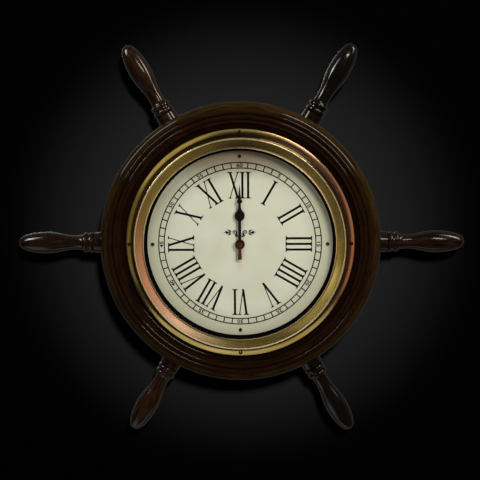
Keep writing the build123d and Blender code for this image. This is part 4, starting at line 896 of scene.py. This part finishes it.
def letter(bm, sign, middle):
    reach = REACH[sign]
    foot_at = reach if sign == "X" else 0.0
    lines = [(-reach, foot_at, THICK)]
    if sign != "I":
        lines.append((reach, -foot_at, THIN))
    for head_at, foot_across, width in lines:
        foot = (middle + foot_across, 0.0)
        head = (middle + head_at, NUMERAL_HEIGHT)
        lean = (head[0] - foot[0]) / NUMERAL_HEIGHT
        stroke(bm, foot, head, width)
        serif(bm, head, lean, width, -1)
        if sign != "V":
            serif(bm, foot, lean, width, 1)


print("strokes", round(THICK / MM, 2), "and", round(THIN / MM, 2), "mm wide")

# %% Numerals
FOOT_RADIUS = 46.0 * MM
ADVANCE = {"I": 5.7 * MM, "V": 10.8 * MM, "X": 11.4 * MM}
HOURS = ["XII", "I", "II", "III", "IIII", "V", "VI", "VII", "VIII", "IX", "X", "XI"]


def turned_to(bm, fresh, clock_angle, lift):
    verts = list({vert for face in fresh for vert in face.verts})
    bmesh.ops.translate(bm, verts=verts, vec=(0, 0, lift))
    bmesh.ops.rotate(bm, verts=verts, matrix=Matrix.Rotation(clock_angle, 3, "Y"))


ink = bmesh.new()
for hour, sign in enumerate(HOURS):
    drawn = set(ink.faces)
    cursor = -sum(ADVANCE[mark] for mark in sign) / 2
    for mark in sign:
        letter(ink, mark, cursor + ADVANCE[mark] / 2)
        cursor += ADVANCE[mark]
    turned_to(ink, set(ink.faces) - drawn, math.radians(30 * hour), FOOT_RADIUS)
print("numerals", len(HOURS), "faces", len(ink.faces))

# %% [markdown]
# The minute track is two circles with a tick at each minute. Every fifth minute leaves its tick out,
# so that a wide box remains, and a small number stands in it. A circle is one short edge spun right
# round. The numbers come from Blender's own font, stretched and a little bolder, and are made a mesh
# before they are turned to their places.

# %% Minute track
TRACK_INNER = 76.4 * MM
TRACK_OUTER = 82.0 * MM
TRACK_LINE = 1.1 * MM
TRACK_STEPS = 180
TICK_WIDTH = 1.1 * MM
for middle in (TRACK_INNER, TRACK_OUTER):
    ends = [ink.verts.new((0, 0, middle + side * TRACK_LINE / 2)) for side in (-1, 1)]
    edge = ink.edges.new(ends)
    bmesh.ops.spin(
        ink, geom=ends + [edge], cent=(0, 0, 0), axis=(0, 1, 0), angle=math.tau,
        steps=TRACK_STEPS, use_merge=True,
    )
for minute in range(60):
    if minute % 5:
        drawn = set(ink.faces)
        stroke(ink, (0, TRACK_INNER), (0, TRACK_OUTER), TICK_WIDTH)
        turned_to(ink, set(ink.faces) - drawn, math.radians(6 * minute), 0)
print("with the track, faces", len(ink.faces))

# %% Minute numbers
NUMBER_SIZE = 5.0 * MM
NUMBER_BOLD = 0.12 * MM
NUMBER_FOOT = 77.45 * MM
NUMBER_STRETCH = 1.3
stand = Matrix.Rotation(math.radians(90), 4, "X") @ Matrix.Diagonal((NUMBER_STRETCH, 1, 1, 1))
for minute in range(5, 65, 5):
    text = bpy.data.curves.new("minute_number", "FONT")
    text.body = str(minute)
    text.size = NUMBER_SIZE
    text.offset = NUMBER_BOLD
    text.align_x = "CENTER"
    text.resolution_u = 3
    holder = bpy.data.objects.new("minute_number", text)
    flat = bpy.data.meshes.new_from_object(holder)
    bpy.data.objects.remove(holder)
    flat.transform(stand)
    drawn = set(ink.faces)
    ink.from_mesh(flat)
    turned_to(ink, set(ink.faces) - drawn, math.radians(6 * minute), NUMBER_FOOT)
    bpy.data.meshes.remove(flat)
print("with the numbers, faces", len(ink.faces))

# %% [markdown]
# Above the hands' axis stands a small flourish: two scrolls and five leaves on each side, in mirror
# image. A scroll is a chain of quarter circles, each smaller than the last, and each quarter is one
# edge spun by a right angle. A leaf is a kite of four corners.

# %% Flourish
QUARTERS = 6
SHRINK = 0.72  # from one quarter to the next
THINNING = 0.86
LEAF_BELLY = 0.4  # of the way from foot to tip


def scroll(bm, side, centre, radius, start, width):
    centre = Vector((side * centre[0], 0, centre[1]))
    angle = start
    for quarter in range(QUARTERS):
        out = clock_way(side * angle)
        ends = [bm.verts.new(centre + out * (radius + grow * width / 2)) for grow in (-1, 1)]
        edge = bm.edges.new(ends)
        bmesh.ops.spin(
            bm, geom=ends + [edge], cent=centre, axis=(0, 1, 0), angle=side * math.pi / 2, steps=8
        )
        angle += math.pi / 2
        end = centre + clock_way(side * angle) * radius
        centre = end + (centre - end) * SHRINK
        radius *= SHRINK
        width *= THINNING


def leaf(bm, side, foot, tip, width):
    foot, tip = Vector(foot), Vector(tip)
    across = Vector((-(tip - foot).y, (tip - foot).x)).normalized() * width / 2
    belly = foot.lerp(tip, LEAF_BELLY)
    corners = [foot, belly - across, tip, belly + across]
    if side < 0:
        corners = [Vector((-corner.x, corner.y)) for corner in corners][::-1]
    patch(bm, corners)


for side in (-1, 1):
    scroll(ink, side, (6.0 * MM, 11.2 * MM), 2.9 * MM, math.radians(200), 1.3 * MM)
    scroll(ink, side, (2.5 * MM, 9.0 * MM), 1.9 * MM, math.radians(20), 1.1 * MM)
    leaf(ink, side, (8.2 * MM, 11.2 * MM), (17.2 * MM, 12.2 * MM), 1.8 * MM)
    leaf(ink, side, (8.2 * MM, 12.0 * MM), (12.8 * MM, 15.0 * MM), 2.0 * MM)
    leaf(ink, side, (8.2 * MM, 10.8 * MM), (12.8 * MM, 8.9 * MM), 1.7 * MM)
    leaf(ink, side, (11.4 * MM, 11.6 * MM), (15.2 * MM, 13.9 * MM), 1.4 * MM)
    leaf(ink, side, (11.4 * MM, 11.4 * MM), (15.0 * MM, 10.0 * MM), 1.2 * MM)
print("with the flourish, faces", len(ink.faces))

# %% [markdown]
# So far the print is flat. Ink on a real dial is thinner than a hair, and a flat sheet right on the
# lacquer would flicker with it. So every face is turned to the front and extruded into a film, and
# the film is laid on the dial's front.

# %% Ink film
INK_FILM = 0.06 * MM


def raise_film(bm, rise):
    bm.normal_update()
    away = [face for face in bm.faces if face.normal.y * rise < 0]
    bmesh.ops.reverse_faces(bm, faces=away)
    film = bmesh.ops.extrude_face_region(bm, geom=bm.faces[:], use_keep_orig=True)
    raised = [part for part in film["geom"] if isinstance(part, bmesh.types.BMVert)]
    bmesh.ops.translate(bm, verts=raised, vec=(0, rise, 0))


# Black printing ink: matt, a little uneven in cover.
printing_ink, tree, shader = new_material(
    "black_printing_ink", roughness=0.6, specular_ior_level=0.1
)
place = add(tree, "ShaderNodeTexCoord", {})
cover = add(
    tree, "ShaderNodeTexNoise",
    {"Vector": place.outputs["Object"], "Scale": 1 / (0.8 * MM), "Detail": 2.0},
)
black = add(
    tree, "ShaderNodeMix",
    {0: cover.outputs["Fac"], 6: colour("#040303"), 7: colour("#0d0b09")}, data_type="RGBA",
)
tree.links.new(black.outputs[2], shader.inputs["Base Color"])
bmesh.ops.remove_doubles(ink, verts=ink.verts, dist=0.001 * MM)
raise_film(ink, -INK_FILM)
bmesh.ops.translate(ink, verts=ink.verts, vec=(0, DIAL_FRONT, AXIS_Z))
new_piece("dial_print", ink, printing_ink, "wheel")

# %% [markdown]
# ## The hands
# Stamped steel hands, chemically darkened to a purple-brown that wears to red-brown where fingers set
# them, on the tail. The CAD shapes are right, so they only get a finish: a mottle for the darkening
# and a slow change of tone with height for the wear.

# %% Darkened hands
hand_steel, tree, shader = new_material("darkened_steel_hand", metallic=0.55, roughness=0.42)
place = add(tree, "ShaderNodeTexCoord", {})
centred = add(
    tree, "ShaderNodeMapping", {"Vector": place.outputs["Object"], "Location": (0, 0, -AXIS_Z)}
)
height = add(tree, "ShaderNodeSeparateXYZ", {0: centred.outputs[0]})
worn = add(tree, "ShaderNodeMapRange", {0: height.outputs["Z"], 1: 6 * MM, 2: -8 * MM})
mottle = add(
    tree, "ShaderNodeTexNoise",
    {"Vector": place.outputs["Object"], "Scale": 1 / (1.6 * MM), "Detail": 3.0},
)
bloom = add(
    tree, "ShaderNodeMix",
    {0: mottle.outputs["Fac"], 6: colour("#140a0c"), 7: colour("#2c171a")}, data_type="RGBA",
)
hand_tone = layered(tree, bloom.outputs[2], [(worn.outputs[0], colour("#5e2f1c"))])
tree.links.new(hand_tone, shader.inputs["Base Color"])
bump = add(
    tree, "ShaderNodeBump",
    {"Height": mottle.outputs["Fac"], "Strength": 0.06, "Distance": 0.1 * MM},
)
tree.links.new(bump.outputs[0], shader.inputs["Normal"])
finish_nodes(hand_steel, "hour_hand", "minute_hand")

# %% [markdown]
# ## Small metal, plastic and rubber pieces
# Most small pieces, outside and in the movement, need no pattern of their own. They share a simple
# plan: a base colour and a second one, mixed by noise at the size of the grain, cast or wear that the
# real stuff shows, with the same noise as a faint relief. So one function makes them all, and a table
# holds what differs.

# %% Grained finishes
def grained(name, low, high, grain, relief, **values):
    material, tree, shader = new_material(name, **values)
    place = add(tree, "ShaderNodeTexCoord", {})
    noise = add(
        tree, "ShaderNodeTexNoise",
        {"Vector": place.outputs["Object"], "Scale": 1 / grain, "Detail": 3.0},
    )
    share = add(tree, "ShaderNodeMapRange", {0: noise.outputs["Fac"], 1: 0.35, 2: 0.65})
    tone = add(
        tree, "ShaderNodeMix",
        {0: share.outputs[0], 6: colour(low), 7: colour(high)}, data_type="RGBA",
    )
    tree.links.new(tone.outputs[2], shader.inputs["Base Color"])
    bump = add(
        tree, "ShaderNodeBump",
        {"Height": noise.outputs["Fac"], "Strength": relief, "Distance": 0.1 * MM},
    )
    tree.links.new(bump.outputs[0], shader.inputs["Normal"])
    return material


# Black card round the dial: dead matt, so it has no gloss at all.
black_card = grained(
    "black_card", "#020202", "#050404", 0.7 * MM, 0.2, roughness=0.85, specular_ior_level=0.0
)
finish_nodes(black_card, "spacer_ring")

# %% Table of finishes
# A row holds the name, both colours, the grain in mm, the relief, metallic, roughness and the nodes.
FINISHES = [
    # Pin heads, browned with age: a dull dark shine.
    ("browned_brass_pin", "#20170d", "#44331c", 0.9, 0.1, 0.6, 0.4, ["dial_pins"]),
    # Copper-plated nut: pinkish, soft highlights.
    ("copper_plated_nut", "#8a5a42", "#b98a6c", 0.8, 0.1, 1.0, 0.35, ["hand_nut"]),
    # Turned brass, clean: yellow and bright.
    ("turned_brass", "#b08d4a", "#cfae68", 0.6, 0.05, 1.0, 0.28,
     ["dial_nut", "dial_washer", "minute_arbor"]),
    # Moulded rubber: black-grey, no sharp highlight.
    ("moulded_rubber", "#101010", "#1b1b1b", 0.5, 0.15, 0.0, 0.75, ["rubber_washer"]),
    # Black ABS from a spark-eroded mould: an even satin grain.
    ("spark_eroded_black_abs", "#131314", "#1e1e20", 0.5, 0.18, 0.0, 0.5,
     ["movement_case", "rear_cover", "train_plate"]),
    # White ABS, smoother: slightly glossy.
    ("white_abs_knob", "#cfcdc6", "#dddbd4", 0.6, 0.06, 0.0, 0.4, ["setting_knob"]),
    # Undyed acetal gears: waxy, off-white.
    ("natural_acetal", "#dcd9cc", "#e8e6dc", 0.8, 0.03, 0.0, 0.35,
     ["hour_wheel", "minute_wheel", "setting_arbor", "centre_wheel", "third_wheel",
      "seconds_wheel", "intermediate_wheel", "rotor", "coil_bobbin"]),
    # Nickel on spring steel: a warm grey shine.
    ("nickelled_spring_steel", "#a9a8a2", "#c8c6c0", 0.5, 0.05, 1.0, 0.3,
     ["clutch_spring", "stator", "coil_core", "positive_contact", "negative_contact"]),
    # Pressed and sintered powder: dark, with a fine rough grain.
    ("sintered_magnet", "#2b2b2d", "#414144", 0.3, 0.15, 0.7, 0.5, ["rotor_magnet"]),
    # Enamel on thin copper wire: glossy red-brown, uneven like its turns.
    ("enamelled_copper_wire", "#8c4a22", "#b4672f", 0.3, 0.3, 0.9, 0.3, ["coil_winding"]),
    # Green lacquer over copper tracks: smooth.
    ("green_board_lacquer", "#1c4a2c", "#24583a", 0.7, 0.05, 0.0, 0.35, ["circuit_board"]),
    # A drop of black resin over the chip: glossy and lumpy.
    ("black_resin", "#0d0d0e", "#161617", 0.6, 0.1, 0.0, 0.3, ["circuit_chip"]),
    # A deep-drawn nickel can: the brightest metal here.
    ("drawn_nickel_can", "#b3b2ad", "#c9c8c3", 0.5, 0.03, 1.0, 0.22, ["quartz_crystal"]),
    # Zinc-plated steel: pale grey, faintly blotched.
    ("zinc_plated_steel", "#9a9b98", "#bdbdb8", 1.2, 0.06, 1.0, 0.36,
     ["hanger_plate", "hanger_screws"]),
    # Brass screws, browned with age and never polished: darker than the bezel.
    ("aged_brass_screw", "#48330f", "#6a4f1e", 0.7, 0.08, 1.0, 0.36, ["bezel_screws"]),
]
for name, low, high, grain, relief, metallic, roughness, nodes in FINISHES:
    finish = grained(name, low, high, grain * MM, relief, metallic=metallic, roughness=roughness)
    finish_nodes(finish, *nodes)

# %% [markdown]
# ## The battery
# A steel can in a printed plastic sleeve. The sleeve is a plain blue-grey with a pale band at the
# positive end, and both ends show the bare can. The cell lies along x, so its place along x says
# which of the three a point belongs to, with no need to cut the mesh.

# %% Battery sleeve
sleeve, tree, shader = new_material("printed_battery_sleeve", roughness=0.32, coat_weight=0.5)
place = add(tree, "ShaderNodeTexCoord", {})
along = add(tree, "ShaderNodeSeparateXYZ", {0: place.outputs["Object"]})
# Scuffs about 0.9 mm across.
scuffs = add(
    tree, "ShaderNodeTexNoise",
    {"Vector": place.outputs["Object"], "Scale": 1 / (0.9 * MM), "Detail": 3.0},
)
blue = add(
    tree, "ShaderNodeMix",
    {0: scuffs.outputs["Fac"], 6: colour("#2b4258"), 7: colour("#3a5670")}, data_type="RGBA",
)
at_band = add(tree, "ShaderNodeMapRange", {0: along.outputs["X"], 1: 12.9 * MM, 2: 13.1 * MM})
# The sleeve ends 24 mm to each side of the cell's middle.
reach = add(tree, "ShaderNodeMath", {0: along.outputs["X"], 1: 0.6 * MM}, operation="ADD")
far = add(tree, "ShaderNodeMath", {0: reach.outputs[0]}, operation="ABSOLUTE")
at_end = add(tree, "ShaderNodeMapRange", {0: far.outputs[0], 1: 24.0 * MM, 2: 24.1 * MM})
can = layered(tree, blue.outputs[2], [
    (at_band.outputs[0], colour("#c9c6ba")),
    (at_end.outputs[0], colour("#b8b7b2")),
])
tree.links.new(can, shader.inputs["Base Color"])
tree.links.new(at_end.outputs[0], shader.inputs["Metallic"])
finish_nodes(sleeve, "battery")

# %% [markdown]
# ## Signs on the rear cover
# The mould leaves raised signs on the cover: a plus and a minus by the battery's ends and a curved
# arrow with two heads round the setting knob. A bump could only shade them, so they are modelled. A
# plus is a three-by-three grid without its corners, and a minus is its middle row alone. The arrow is
# an edge spun about the knob, with a triangle at each end.

# %% Plus and minus
cover_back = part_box("rear_cover")[1].y
SIGN_HALF = 2.1 * MM
SIGN_ACROSS = 20 * MM
SIGN_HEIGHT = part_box("battery")[1].z + 4.2 * MM
signs = bmesh.new()
for across, upright in ((SIGN_ACROSS, True), (-SIGN_ACROSS, False)):
    grid = bmesh.ops.create_grid(signs, x_segments=3, y_segments=3, size=SIGN_HALF)["verts"]
    arm = SIGN_HALF / 3
    spare = []
    for face in {face for vert in grid for face in vert.link_faces}:
        middle = face.calc_center_median()
        if abs(middle.y) > arm and (abs(middle.x) > arm or not upright):
            spare.append(face)
    bmesh.ops.rotate(signs, verts=grid, matrix=Matrix.Rotation(math.radians(-90), 3, "X"))
    bmesh.ops.translate(signs, verts=grid, vec=(across, cover_back, SIGN_HEIGHT))
    bmesh.ops.delete(signs, geom=spare, context="FACES")
print("plus and minus, faces", len(signs.faces))

# %% Arrow round the knob
knob_low, knob_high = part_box("setting_knob")
knob_axis = (knob_low + knob_high) / 2
SIGN_RELIEF = 0.3 * MM
ARROW_RADIUS = 8.2 * MM
ARROW_WIDTH = 0.8 * MM
ARROW_REACH = math.radians(115)
HEAD_REACH = 0.28  # radians
HEAD_HALF = 1.3 * MM
middle = Vector((knob_axis.x, cover_back, knob_axis.z))
first = clock_way(-ARROW_REACH / 2)
ends = [
    signs.verts.new(middle + first * (ARROW_RADIUS + side * ARROW_WIDTH / 2)) for side in (-1, 1)
]
bmesh.ops.spin(
    signs, geom=ends + [signs.edges.new(ends)], cent=middle, axis=(0, 1, 0), angle=ARROW_REACH,
    steps=20,
)
for turn in (-1, 1):
    head = turn * ARROW_REACH / 2
    tip = turn * (ARROW_REACH / 2 + HEAD_REACH)
    signs.faces.new([
        signs.verts.new(middle + clock_way(angle) * (ARROW_RADIUS + step))
        for angle, step in ((head, -HEAD_HALF), (head, HEAD_HALF), (tip, 0))
    ])
raise_film(signs, SIGN_RELIEF)
bmesh.ops.recalc_face_normals(signs, faces=signs.faces)
# The same plastic, rubbed grey on the raised signs.
rubbed_abs = grained("rubbed_black_abs", "#38383a", "#5a5a5c", 0.5 * MM, 0.1, roughness=0.4)
new_piece("cover_signs", signs, rubbed_abs, "wheel")

# %% [markdown]
# ## Closing

# %% Update the view layer
bpy.context.view_layer.update()
